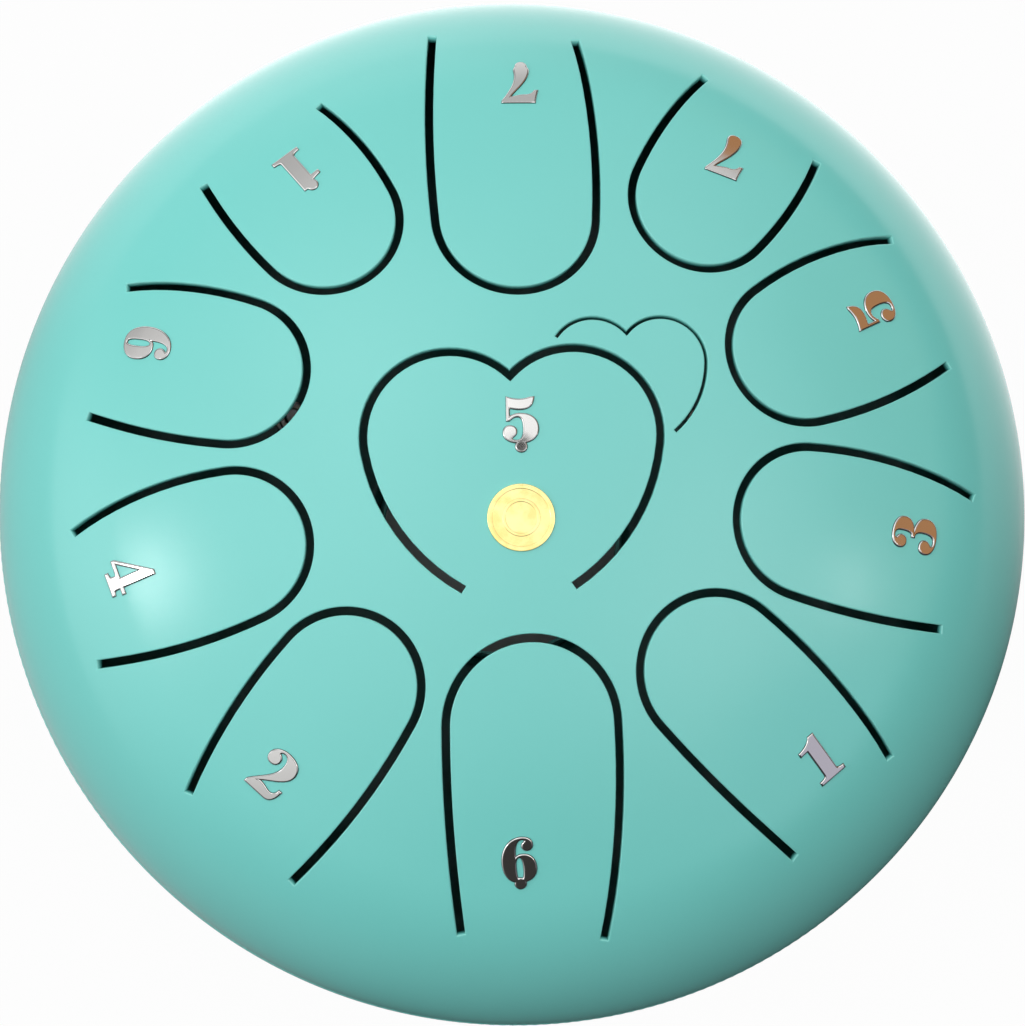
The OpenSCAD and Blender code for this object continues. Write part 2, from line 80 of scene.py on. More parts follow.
class Pick(Enum):
    """What is selected in edit mode."""

    POINTS = "VERT"
    EDGES = "EDGE"
    FACES = "FACE"


class Cut(Enum):
    """How another piece changes a piece."""

    AWAY = "DIFFERENCE"
    TRIM = "INTERSECT"
    ONTO = "UNION"


def ray(bearing: float) -> Vector:
    """Unit vector of the plan at a bearing in degrees."""
    turn = math.radians(bearing)
    return Vector((math.cos(turn), math.sin(turn)))


def arc(centre: Vector, radius: float, start: float, end: float, steps: int) -> list[Vector]:
    """Points of an arc of a plan or of a half section.

    Args:
        centre: Its centre.
        radius: Its radius.
        start: Bearing of its first point from the centre, in degrees.
        end: Bearing of its last point.
        steps: Number of steps between them.

    Returns:
        The points, one more than the steps.
    """
    turn = (end - start) / steps
    return [centre + radius * ray(start + turn * i) for i in range(steps + 1)]


def polar(points: np.ndarray) -> tuple[np.ndarray, np.ndarray]:
    """Distances of points from the Z axis, and their directions from it in the plan."""
    reach = np.hypot(points[:, 0], points[:, 1])
    return reach, points[:, :2] / np.maximum(reach, TINY)[:, None]


def narrowed(points: np.ndarray, share: np.ndarray) -> np.ndarray:
    """Brings points to a share of their distance from the Z axis."""
    return points * np.column_stack([share, share, np.ones(len(points))])


class Workpiece:
    """A mesh on the bench, shaped with Blender's own operators."""

    def __init__(self, obj: bpy.types.Object) -> None:
        """Takes an object as the piece to work on.

        Args:
            obj: A mesh object.
        """
        self.obj = obj

    @staticmethod
    def clear_bench() -> None:
        """Leaves edit mode and deselects every object."""
        active = bpy.context.object
        if active is not None and active.mode != "OBJECT":
            bpy.ops.object.mode_set(mode="OBJECT")
        bpy.ops.object.select_all(action="DESELECT")

    @classmethod
    def added(cls, name: str, primitive: Callable[..., Any], **settings: Any) -> "Workpiece":
        """Adds a primitive and takes it as a new piece.

        Args:
            name: Name of the piece.
            primitive: The operator that adds it.
            **settings: The operator's settings.

        Returns:
            The new piece.
        """
        cls.clear_bench()
        primitive(**settings)
        bpy.context.object.name = name
        return cls(bpy.context.object)

    @classmethod
    def drawn(cls, name: str, lines: Iterable[Sequence[Vector]], closed: bool = False,
              **settings: Any) -> "Workpiece":
        """Draws lines as a curve and turns it into a mesh.

        Args:
            name: Name of the piece.
            lines: Points of each line, in space.
            closed: Whether each line returns to its start.
            **settings: The curve's own settings.

        Returns:
            The new piece.
        """
        curve = bpy.data.curves.new(name, "CURVE")
        for key, value in {"dimensions": "3D", **settings}.items():
            setattr(curve, key, value)
        for line in lines:
            spline = curve.splines.new("POLY")
            spline.points.add(len(line) - 1)
            for knot, place in zip(spline.points, line):
                knot.co = (*place, 1)
            spline.use_cyclic_u = closed
        obj = bpy.data.objects.new(name, curve)
        bpy.context.scene.collection.objects.link(obj)
        cls(obj).activate()
        bpy.ops.object.convert(target="MESH")
        return cls(bpy.context.object)

    @classmethod
    def plate(cls, name: str, outlines: Iterable[Sequence[Vector]], thickness: float, rim: float,
              rim_steps: int, growth: float) -> "Workpiece":
        """Fills outlines as a flat plate with a rounded rim, its lower face at height zero.

        The curve is drawn in millimetres, and the mesh is then brought to size.

        Args:
            name: Name of the piece.
            outlines: Closed outlines; one inside another is a hole.
            thickness: Thickness of the plate.
            rim: Width of its rim, which falls from the upper face to height zero.
            rim_steps: How finely the rim is rounded.
            growth: How far the plate reaches past its outlines.

        Returns:
            The new piece.
        """
        flat = [[Vector((place.x / MM, place.y / MM, 0)) for place in line] for line in outlines]
        piece = cls.drawn(name, flat, closed=True, dimensions="2D", fill_mode="BOTH",
                          bevel_depth=rim / MM, bevel_resolution=rim_steps,
                          offset=(growth - rim) / MM)
        return piece.outward().moved(lambda points: np.column_stack([
            points[:, :2] * MM, np.maximum(points[:, 2], 0) * MM * thickness / rim
        ]))

    def activate(self) -> None:
        """Makes this the only selected object, in object mode."""
        self.clear_bench()
        self.obj.select_set(True)
        bpy.context.view_layer.objects.active = self.obj

    def pick(self, kind: Pick, test: Callable[[Any], bool] = lambda element: True) -> "Workpiece":
        """Opens the piece in edit mode with only the matching elements selected.

        Args:
            kind: Points, edges or faces.
            test: Says whether an element is taken.

        Returns:
            The piece, in edit mode.
        """
        self.activate()
        bpy.ops.object.mode_set(mode="EDIT")
        bpy.ops.mesh.select_mode(type=kind.value)
        bpy.ops.mesh.select_all(action="DESELECT")
        shape = bmesh.from_edit_mesh(self.obj.data)
        elements = {Pick.POINTS: shape.verts, Pick.EDGES: shape.edges, Pick.FACES: shape.faces}
        for element in elements[kind]:
            if test(element):
                element.select_set(True)
        bmesh.update_edit_mesh(self.obj.data)
        return self

    def pick_all(self, kind: Pick) -> "Workpiece":
        """Opens the piece in edit mode with everything selected."""
        self.pick(kind, lambda element: False)
        bpy.ops.mesh.select_all(action="SELECT")
        return self

    def close(self) -> "Workpiece":
        """Leaves edit mode."""
        bpy.ops.object.mode_set(mode="OBJECT")
        return self

    def modified(self, kind: str, **settings: Any) -> "Workpiece":
        """Adds a modifier and applies it.

        Args:
            kind: The modifier's type.
            **settings: Its settings.

        Returns:
            The changed piece.
        """
        modifier = self.obj.modifiers.new(kind.title(), kind)
        for key, value in settings.items():
            setattr(modifier, key, value)
        self.activate()
        bpy.ops.object.modifier_apply(modifier=modifier.name)
        return self

    def cut(self, cutter: "Workpiece", way: Cut = Cut.AWAY) -> "Workpiece":
        """Cuts the piece with another one, which is used up.

        Args:
            cutter: The closed shape that cuts.
            way: Whether it is cut away or kept.

        Returns:
            The changed piece.
        """
        self.modified("BOOLEAN", operation=way.value, solver="EXACT", object=cutter.obj)
        bpy.data.objects.remove(cutter.obj)
        return self

    def sliced(self, spacing: float, shift: float = 0.013) -> "Workpiece":
        """Cuts the faces along lines of the plan, so that the piece can follow a curved face.

        Args:
            spacing: Distance between the lines.
            shift: Share of the spacing that keeps the lines off the outlines' own points.

        Returns:
            The changed piece.
        """
        places = self.places()
        for axis in (0, 1):
            low, high = places[:, axis].min(), places[:, axis].max()
            for step in range(math.ceil(low / spacing), math.floor(high / spacing) + 1):
                spot, way = [0.0, 0.0, 0.0], [0.0, 0.0, 0.0]
                spot[axis], way[axis] = (step + shift) * spacing, 1
                self.pick_all(Pick.FACES)
                bpy.ops.mesh.bisect(plane_co=spot, plane_no=way, threshold=NEAR)
        return self.close()

    def outward(self) -> "Workpiece":
        """Merges doubled points and turns all faces outwards."""
        self.pick(Pick.POINTS)
        bpy.ops.mesh.remove_doubles(threshold=NEAR)
        bpy.ops.mesh.normals_make_consistent(inside=False)
        return self.close()

    def turned(self, steps: int) -> "Workpiece":
        """Spins a section in the XZ plane once round the Z axis.

        Args:
            steps: Number of steps of the full turn.

        Returns:
            The turned, closed piece.
        """
        self.pick(Pick.EDGES)
        bpy.ops.mesh.spin(steps=steps, angle=math.tau, center=(0, 0, 0), axis=(0, 0, 1))
        self.close()
        return self.outward()

    def smoothed(self, degrees: float) -> "Workpiece":
        """Shades the piece smooth up to an angle between faces."""
        self.activate()
        bpy.ops.object.shade_smooth_by_angle(angle=math.radians(degrees))
        return self

    def places(self) -> np.ndarray:
        """The places of all points, as rows."""
        places = np.empty(len(self.obj.data.vertices) * 3)
        self.obj.data.vertices.foreach_get("co", places)
        return places.reshape(-1, 3)

    def moved(self, change: Callable[[np.ndarray], np.ndarray]) -> "Workpiece":
        """Moves every point by a rule.

        Args:
            change: Takes the points as rows and returns their new places.

        Returns:
            The changed piece.
        """
        self.obj.data.vertices.foreach_set("co", change(self.places()).ravel())
        self.obj.data.update()
        return self

    def scored(self, name: str, values: np.ndarray) -> "Workpiece":
        """Writes a number at every point, for the finish to read.

        Args:
            name: Name of the attribute.
            values: One number for each point.

        Returns:
            The piece.
        """
        attribute = self.obj.data.attributes.new(name, "FLOAT", "POINT")
        attribute.data.foreach_set("value", values.astype(np.float32))
        return self

    def copied(self, name: str, place: Matrix) -> "Workpiece":
        """Makes a copy with its own mesh, placed in its mesh.

        Args:
            name: Name of the copy.
            place: Where the copy goes.

        Returns:
            The copy.
        """
        mesh = self.obj.data.copy()
        mesh.transform(place)
        obj = bpy.data.objects.new(name, mesh)
        bpy.context.scene.collection.objects.link(obj)
        return Workpiece(obj)

    def joined(self, others: Iterable["Workpiece"]) -> "Workpiece":
        """Joins other pieces into this one.

        Args:
            others: The pieces, which are used up.

        Returns:
            The whole piece.
        """
        self.activate()
        for other in others:
            other.obj.select_set(True)
        bpy.ops.object.join()
        return self

    def finished(self, body: str, slot: str, nodes: Sequence[str],
                 finish: bpy.types.Material) -> None:
        """Dresses the piece and ties it to the frame.

        Args:
            body: The body that it rides on.
            slot: The record's material slot; not used.
            nodes: The CAD nodes that it stands for.
            finish: Its material.
        """
        self.obj.data.materials.clear()
        self.obj.data.materials.append(finish)
        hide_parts(*nodes)
        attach(self.obj, body)
        triangles = sum(len(face.vertices) - 2 for face in self.obj.data.polygons)
        log.info("%s on %s: %d triangles", self.obj.name, body, triangles)


@dataclass(frozen=True)
class Leg:
    """One leg of a tongue's slot.

    Its root lies at an angle from the tongue's bearing, at a share of the root circle, and it meets
    the round tip at the join, which is an angle too. Angles are in degrees.
    """

    angle: float
    root: float
    join: float


@dataclass(frozen=True)
class TonguePlan:
    """Plan of one tongue round the rim, in shares of the root circle and of the shared tip."""

    name: str
    bearing: float
    reach: float
    tip: float
    left: Leg
    right: Leg


@dataclass(frozen=True)
class HeartPlan:
    """Plan of a heart line: its cusp's place, and the rest in shares of lobe_r from the cusp."""

    lobe_r: float
    cusp: Vector
    lobe: Vector
    root: Vector
    join: float
    turn: float = 2.5

    @property
    def centre(self) -> Vector:
        """Centre of the right lobe, in the heart's own plan."""
        return self.lobe_r * self.lobe

    @property
    def top(self) -> float:
        """Bearing of the cusp from the lobe's centre."""
        return math.degrees(math.acos(-self.centre.x / self.centre.length))

    def half(self, lobe_steps: int, leg_steps: int) -> list[Vector]:
        """Right half of the line, in the heart's own plan.

        Args:
            lobe_steps: Number of steps round the lobe.
            leg_steps: Number of steps along the leg.

        Returns:
            Its points, from its root to the cusp.
        """
        lobe = arc(self.centre, self.centre.length, self.join, self.top, lobe_steps)
        leg = arc_to(lobe[0], self.join - 90, self.lobe_r * self.root, leg_steps)
        return leg[::-1] + lobe

    def left_lobe(self, until: float, steps: int) -> list[Vector]:
        """Part of the left lobe, from just past the cusp to a bearing, in the heart's own plan."""
        return mirrored(arc(self.centre, self.centre.length, self.top, until, steps)[1:])

    def placed(self, points: Iterable[Vector]) -> list[Vector]:
        """Turns points of the heart's own plan and moves them to its cusp."""
        turn = Matrix.Rotation(math.radians(self.turn), 2)
        return [self.cusp + turn @ p for p in points]


def mirrored(points: Iterable[Vector]) -> list[Vector]:
    """Points of a plan on the other side of its Y axis."""
    return [Vector((-p.x, p.y)) for p in points]


def arc_to(start: Vector, heading: float, end: Vector, steps: int,
           straight: float = 1e-4) -> list[Vector]:
    """Points of the arc that leaves a point along a heading and ends at another, without its start.

    Args:
        start: Where the arc begins.
        heading: Its bearing there, in degrees.
        end: Where it ends.
        steps: Number of points.
        straight: Half sweep in radians under which the arc is a line.

    Returns:
        The points, the last of them the end.
    """
    chord = end - start
    length = chord.length
    aim = ray(heading)
    sweep = math.asin((aim.x * chord.y - aim.y * chord.x) / length)
    if abs(sweep) < straight:
        return [start + chord * i / steps for i in range(1, steps + 1)]
    points = []
    for i in range(1, steps + 1):
        part = math.sin(sweep * i / steps) / math.sin(sweep)
        points.append(start + length * part * ray(heading + math.degrees(sweep) * i / steps))
    return points


def within(polygon: Sequence[Vector], x: float, y: float) -> bool:
    """Whether a point of the plan lies inside a closed outline."""
    inside = False
    for a, b in zip(polygon, list(polygon[1:]) + [polygon[0]]):
        if (a.y > y) != (b.y > y) and x < a.x + (y - a.y) * (b.x - a.x) / (b.y - a.y):
            inside = not inside
    return inside


@dataclass
class Shell:
    """Sizes that the two sheets and the weld between them share."""

    drum_r: float = 127 * MM
    sheet_t: float = 1.8 * MM
    lip_r: float = 125.15 * MM
    joggle_z: float = 66.2 * MM
    sides: int = 360
    crease: float = 40


@dataclass
class Crown(Shell):
    """The upper sheet: its section, its slots, and the shell and tongues that are made of it."""

    shoulder_r: float = 47 * MM
    dome_r: float = 255 * MM
    shoulder_z: float = 71 * MM
    edge_z: float = 67.8 * MM
    slot_w: float = 2 * MM
    slit_w: float = 0.8 * MM
    root_r: float = 108 * MM
    tip_r: float = 17.992 * MM
    rim_round: float = 0.32 * MM
    rim_sink: float = 0.985
    rim_segments: int = 3
    blank_r: float = 118 * MM
    cell: float = 3 * MM
    merge: float = 0.01 * MM
    ring_w: float = 2.4 * MM
    tip_steps: int = 44
    leg_steps: int = 10
    heart_steps: int = 26
    root_setback: float = 0.5 * MM
    outer_share: float = 0.6
    tongues: tuple[TonguePlan, ...] = (
        TonguePlan("low_6", -89.9, 0.549, 1.133, Leg(9.7, 1.019, 85), Leg(8.3, 1.005, 91)),
        TonguePlan("1", -46.3, 0.589, 1.027, Leg(9.9, 1.009, 81), Leg(7.6, 1.016, 90)),
        TonguePlan("3", -8.5, 0.624, 1.006, Leg(7.8, 1.007, 82), Leg(10.1, 0.979, 82)),
        TonguePlan("5", 26.2, 0.672, 1.002, Leg(8.5, 1.009, 77), Leg(9.4, 0.995, 79)),
        TonguePlan("7", 58.5, 0.745, 0.98, Leg(8.1, 1.031, 83), Leg(9.8, 0.997, 78)),
        TonguePlan("low_7", 93.4, 0.588, 1.073, Leg(8, 1.057, 88), Leg(9.7, 1.033, 83)),
        TonguePlan("high_1", 128.4, 0.733, 0.985, Leg(8.7, 0.987, 85), Leg(9.8, 0.976, 77)),
        TonguePlan("6", 160.5, 0.7, 0.989, Leg(10.9, 0.985, 77), Leg(6.7, 0.993, 88)),
        TonguePlan("4", -166.4, 0.674, 1.015, Leg(9.4, 1.028, 79), Leg(7.2, 1.011, 83)),
        TonguePlan("2", -131.1, 0.621, 0.999, Leg(10.7, 1.021, 77), Leg(6.2, 1.012, 89)),
    )
    heart: HeartPlan = HeartPlan(
        lobe_r=HEART_R, cusp=HEART_R * Vector((-0.275, 1.13)), lobe=Vector((0.722, -0.686)),
        root=Vector((0.635, -2.46)), join=-8,
    )
    charm: HeartPlan = HeartPlan(
        lobe_r=10.7 * MM, cusp=HEART_R * Vector((1.088, 1.66)), lobe=Vector((0.769, -0.624)),
        root=Vector((0.967, -2.24)), join=-3.6,
    )
    charm_cut: float = 35
    charm_share: float = 2 / 3

    def __post_init__(self) -> None:
        """Works out the section from the driving sizes."""
        self.shoulder_c_r = self.drum_r - self.shoulder_r
        self.lean = math.asin(self.shoulder_c_r / (self.dome_r - self.shoulder_r))
        self.dome_c_z = self.shoulder_z - (self.dome_r - self.shoulder_r) * math.cos(self.lean)
        self.join_slope = math.asin((self.blank_r - self.shoulder_c_r) / self.shoulder_r)
        self.band_at = self.blank_r + self.shoulder_r * (math.pi / 2 - self.join_slope)
        self.full_r = self.band_at + self.shoulder_z - self.edge_z

    def curves(self, crown: np.ndarray) -> tuple[np.ndarray, np.ndarray, np.ndarray]:
        """Radius and height of the section's centre and its own radius, on the crown or not."""
        return (np.where(crown, 0, self.shoulder_c_r),
                np.where(crown, self.dome_c_z, self.shoulder_z),
                np.where(crown, self.dome_r, self.shoulder_r))

    def section(self, reach: np.ndarray) -> tuple[np.ndarray, np.ndarray, np.ndarray]:
        """The outer face at distances from the middle of the blank.

        Args:
            reach: Distances, along the plan to the blank's edge and along the sheet past it.

        Returns:
            Radius, height and slope of the pressed face at each distance.
        """
        plan = np.minimum(reach, self.blank_r)
        on_dome = np.arcsin(np.clip(plan / self.dome_r, 0, 1))
        on_shoulder = np.arcsin(np.clip((plan - self.shoulder_c_r) / self.shoulder_r, 0, 1))
        past = np.clip((reach - self.blank_r) / self.shoulder_r, 0, math.pi / 2 - self.join_slope)
        slope = np.where(plan < self.dome_r * math.sin(self.lean), on_dome, on_shoulder + past)
        centre_r, centre_z, curve_r = self.curves(slope < self.lean)
        drop = np.maximum(reach - self.band_at, 0)
        return centre_r + curve_r * np.sin(slope), centre_z + curve_r * np.cos(slope) - drop, slope

    def pressed(self, points: np.ndarray) -> np.ndarray:
        """Presses points of the flat blank to the dome.

        Args:
            points: Points of the blank, as rows.

        Returns:
            Their new places; their heights stay square to the sheet.
        """
        reach, aim = polar(points)
        radius, height, slope = self.section(reach)
        lift = points[:, 2]
        out = radius + lift * np.sin(slope)
        return np.column_stack([aim * out[:, None], height + lift * np.cos(slope)])

    def nearest(self, points: np.ndarray) -> tuple[np.ndarray, np.ndarray]:
        """Finds the outer face below points near the crown.

        Args:
            points: The points, as rows.

        Returns:
            The nearest places of the face, and the directions square to it there.
        """
        radius, aim = polar(points)
        crown = np.arctan2(radius, points[:, 2] - self.dome_c_z) < self.lean
        centre_r, centre_z, curve_r = self.curves(crown)
        slope = np.arctan2(radius - centre_r, np.maximum(points[:, 2] - centre_z, 0))
        across, along = np.sin(slope), np.cos(slope)
        out = (centre_r + curve_r * across)[:, None]
        return (np.column_stack([aim * out, centre_z + curve_r * along]),
                np.column_stack([aim * across[:, None], along]))

    def drape(self, piece: Workpiece, bearing: float, reach: float, turn: float) -> None:
        """Lays a flat piece on the crown.

        Args:
            piece: The piece, its lower face at height zero and its middle at the origin.
            bearing: Bearing of its place.
            reach: Distance of its place from the axis.
            turn: Turn of the piece in its plane.
        """
        radius, height, slope = (float(v) for v in self.section(np.array(reach)))
        place = Matrix.Rotation(math.radians(bearing), 4, "Z")
        place @= Matrix.Translation((radius, 0, height))
        place @= Matrix.Rotation(slope, 4, "Y")
        place @= Matrix.Rotation(math.radians(turn - bearing), 4, "Z")
        turned = np.array(place)

        def laid(points: np.ndarray) -> np.ndarray:
            """Brings the flat piece's points to the face and keeps their heights above it."""
            flat = points * (1, 1, 0)
            face, normals = self.nearest(flat @ turned[:3, :3].T + turned[:3, 3])
            return face + normals * points[:, 2:]

        piece.moved(laid)

    def slot_line(self, tongue: TonguePlan) -> list[Vector]:
        """Middle line of a tongue's slot.

        Args:
            tongue: The tongue's plan.

        Returns:
            Its points, from its anticlockwise root to its clockwise one.
        """
        middle = self.root_r * tongue.reach * ray(tongue.bearing)
        radius = self.tip_r * tongue.tip
        root_a = self.root_r * tongue.left.root * ray(tongue.bearing + tongue.left.angle)
        root_b = self.root_r * tongue.right.root * ray(tongue.bearing - tongue.right.angle)
        join_a = tongue.bearing + 180 - tongue.left.join
        join_b = tongue.bearing + 180 + tongue.right.join
        tip = arc(middle, radius, join_a, join_b, self.tip_steps)
        leg_a = arc_to(tip[0], join_a - 90, root_a, self.leg_steps)
        leg_b = arc_to(tip[-1], join_b + 90, root_b, self.leg_steps)
        return leg_a[::-1] + tip + leg_b

    def heart_line(self) -> list[Vector]:
        """Middle line of the heart tongue's slot, from its right root to its left one."""
        half = self.heart.half(self.heart_steps, self.leg_steps)
        return self.heart.placed(half + mirrored(half[-2::-1]))

    def charm_line(self) -> list[Vector]:
        """Middle line of the small heart's slit."""
        half = self.charm.half(self.heart_steps, self.leg_steps)
        steps = int(self.heart_steps * self.charm_share)
        return self.charm.placed(half + self.charm.left_lobe(self.charm_cut, steps))

    @staticmethod
    def beside(line: Sequence[Vector], reach: float, past: float) -> list[Vector]:
        """Closed outline at a distance on both sides of a line, with mitred corners.

        Args:
            line: Points of the open line.
            reach: Distance from the line.
            past: How far the outline reaches past both ends.

        Returns:
            The outline, along one side and back along the other.
        """
        ways = [(b - a).normalized() for a, b in zip(line, line[1:])]
        ends = [line[0] - past * ways[0]] + list(line[1:-1]) + [line[-1] + past * ways[-1]]
        offsets = []
        for before, after in zip(ways[:1] + ways, ways + ways[-1:]):
            one, two = Vector((-before.y, before.x)), Vector((-after.y, after.x))
            offsets.append(reach * (one + two) / (1 + one.dot(two)))
        left = [p + q for p, q in zip(ends, offsets)]
        return left + [p - q for p, q in zip(ends, offsets)][::-1]

    def slot_cutter(self, line: list[Vector], width: float) -> Workpiece:
        """The shape that mills a slot along a line and rounds its upper edges.

        Args:
            line: Middle line of the slot.
            width: Width of the slot.

        Returns:
            The closed shape.
        """
        levels = [(0.0, -2 * self.sheet_t)]
        for i in range(self.rim_segments + 1):
            turn = math.pi / 2 * i / self.rim_segments
            levels.append((self.rim_round * (1 - math.cos(turn)),
                           self.rim_round * (math.sin(turn) - self.rim_sink)))
        levels.append((self.rim_round, self.sheet_t))
        heights = np.array([z for _, z in levels])
        loops = np.array([self.beside(line, width / 2 + flare, flare) for flare, _ in levels])
        outline = [Vector((*p, heights[0])) for p in loops[0]]
        cutter = Workpiece.drawn("cutter", [outline], closed=True)
        cutter.pick(Pick.EDGES)
        bpy.ops.mesh.edge_face_add()
        for rise in np.diff(heights):
            bpy.ops.mesh.extrude_region_move(TRANSFORM_OT_translate={"value": (0, 0, rise)})
        cutter.close()

        def flared(points: np.ndarray) -> np.ndarray:
            """Brings each point of the straight shape to the outline of its own height."""
            spot = np.argmin(np.hypot(*(points[:, None, :2] - loops[0]).transpose(2, 0, 1)), axis=1)
            level = np.argmin(np.abs(points[:, 2:] - heights), axis=1)
            return np.column_stack([loops[level, spot], heights[level]])

        return cutter.moved(flared).outward()

    def blank(self) -> Workpiece:
        """The flat blank with its milled slots, its outer face at height zero."""
        span = 2 * self.blank_r + 2 * self.cell
        cells = round(span / self.cell)
        sheet = Workpiece.added("blank", bpy.ops.mesh.primitive_grid_add, x_subdivisions=cells,
                                y_subdivisions=cells, size=span)
        sheet.modified("SOLIDIFY", thickness=self.sheet_t, offset=-1)
        disc = Workpiece.added("disc", bpy.ops.mesh.primitive_cylinder_add, vertices=self.sides,
                               radius=self.blank_r, depth=4 * self.sheet_t)
        sheet.cut(disc, Cut.TRIM)
        slots = [self.slot_line(tongue) for tongue in self.tongues] + [self.heart_line()]
        cutters = [self.slot_cutter(line, self.slot_w) for line in slots]
        cutters.append(self.slot_cutter(self.charm_line(), self.slit_w))
        sheet.cut(cutters[0].joined(cutters[1:]))
        sheet.pick_all(Pick.POINTS)
        bpy.ops.mesh.remove_doubles(threshold=self.merge)
        return self.with_shoulder(sheet.close())

    def with_shoulder(self, sheet: Workpiece) -> Workpiece:
        """Extends the blank ring by ring as far as the waist.

        Args:
            sheet: The slotted blank.

        Returns:
            The blank with the flat ring that becomes the lower shoulder.
        """
        rings = math.ceil((self.full_r - self.blank_r) / self.ring_w)
        radii = [self.blank_r + (self.full_r - self.blank_r) * i / rings for i in range(rings + 1)]
        edge = (self.blank_r - self.cell / 5) ** 2

        def outer_wall(face: Any) -> bool:
            """Whether a face belongs to the blank's round edge."""
            middle = face.calc_center_median()
            return abs(face.normal.z) < 0.5 and middle.x ** 2 + middle.y ** 2 > edge

        sheet.pick(Pick.FACES, outer_wall)
        for before, after in zip(radii, radii[1:]):
            bpy.ops.mesh.extrude_region_move(TRANSFORM_OT_translate={"value": (0, 0, 0)})
            growth = after / before
            bpy.ops.transform.resize(value=(growth, growth, 1), center_override=(0, 0, 0))
        return sheet.close()

    def parted(self, sheet: Workpiece, name: str, line: list[Vector]) -> Workpiece:
        """Cuts a tongue from the blank along its root line.

        Args:
            sheet: The slotted blank, which loses the tongue.
            name: Name of the tongue's piece.
            line: Middle line of its slot.

        Returns:
            The flat tongue, closed at its root.
        """
        span = (line[-1] - line[0]).length
        across = (line[-1] - line[0]) / span
        inward = Vector((-across.y, across.x))
        middle = line[len(line) // 2]
        if (middle - line[0]).dot(inward) < 0:
            inward = -inward
        start = line[0] + self.root_setback * inward
        low = Vector((min(p.x for p in line), min(p.y for p in line)))
        high = Vector((max(p.x for p in line), max(p.y for p in line)))

        def near_root(face: Any) -> bool:
            """Whether a face may be crossed by the root line."""
            c = face.calc_center_median().xy - line[0]
            beside = -self.slot_w < c.dot(across) < span + self.slot_w
            return beside and abs(c.dot(inward)) < 3 * self.cell

        def beyond(face: Any) -> bool:
            """Whether a face belongs to the tongue."""
            c = face.calc_center_median()
            boxed = low.x < c.x < high.x and low.y < c.y < high.y
            return boxed and (c.xy - start).dot(inward) > 0 and within(line, c.x, c.y)

        sheet.pick(Pick.FACES, near_root)
        bpy.ops.mesh.bisect(plane_co=(*start, 0), plane_no=(*inward, 0), threshold=NEAR)
        sheet.pick(Pick.FACES, beyond)
        before = set(bpy.data.objects)
        bpy.ops.mesh.separate(type="SELECTED")
        sheet.close()
        tongue = Workpiece((set(bpy.data.objects) - before).pop())
        tongue.obj.name = name
        for piece in (sheet, tongue):
            piece.pick(Pick.EDGES, lambda edge: edge.is_boundary)
            bpy.ops.mesh.edge_face_add()
            piece.close()
        return tongue

    def shaped(self, piece: Workpiece) -> Workpiece:
        """Presses a flat piece to the dome and gives its outer face the dome's own normals.

        Args:
            piece: The flat piece, its outer face at height zero.

        Returns:
            The pressed piece.
        """
        depth = -piece.places()[:, 2]
        # The depth drives the coat's painted rim highlight and its painted shade inside.
        piece.scored("depth", depth)
        piece.moved(self.pressed).smoothed(self.crease)
        return self.eased(piece, depth < NEAR)

    def eased(self, piece: Workpiece, on_face: np.ndarray) -> Workpiece:
        """Shades points that lie on a face parallel to the crown exactly as the crown is curved.

        Args:
            piece: The pressed piece, already shaded smooth.
            on_face: Says for each point whether it lies on such a face.

        Returns:
            The piece.
        """
        mesh = piece.obj.data
        corners = np.empty(len(mesh.loops) * 3, np.float32)
        mesh.corner_normals.foreach_get("vector", corners)
        corners = corners.reshape(-1, 3)
        used = np.empty(len(mesh.loops), np.int32)
        mesh.loops.foreach_get("vertex_index", used)
        true = self.nearest(piece.places())[1][used]
        outer = on_face[used] & ((corners * true).sum(1) > self.outer_share)
        corners[outer] = true[outer]
        mesh.normals_split_custom_set(corners.tolist())
        return piece

    def build(self, finish: bpy.types.Material) -> None:
        """Makes the upper shell and its eleven tongues.

        Args:
            finish: Finish of the sheet.
        """
        sheet = self.blank()
        lines = {tongue.name: self.slot_line(tongue) for tongue in self.tongues}
        lines["low_5"] = self.heart_line()
        tongues = {name: self.parted(sheet, f"tongue_{name}_plate", line)
                   for name, line in lines.items()}
        sheet.obj.name = "upper_shell_sheet"
        self.shaped(sheet).finished(BODY, "shell_paint", ["upper_shell"], finish)
        for name, tongue in tongues.items():
            body = f"tongue_{name}"
            self.shaped(tongue).finished(body, "tongue_paint", [body], finish)


def lathe(name: str, section: Sequence[Sequence[float]], steps: int,
          ring: bool = False) -> Workpiece:
    """Turns a half section round the Z axis.

    Args:
        name: Name of the piece.
        section: Radii and heights; it starts and ends on the axis unless it is a ring.
        steps: Number of steps of the full turn.
        ring: Whether the section is a closed outline away from the axis.

    Returns:
        The turned piece.
    """
    line = [Vector((r, 0, z)) for r, z in section]
    return Workpiece.drawn(name, [line], ring).turned(steps)


@dataclass(frozen=True)
class NumeralPlan:
    """One numeral: its digit, its octave dot if it has one, and where it lies on the crown."""

    name: str
    digit: int
    dot: Point | None
    bearing: float
    reach: float
    turn: float


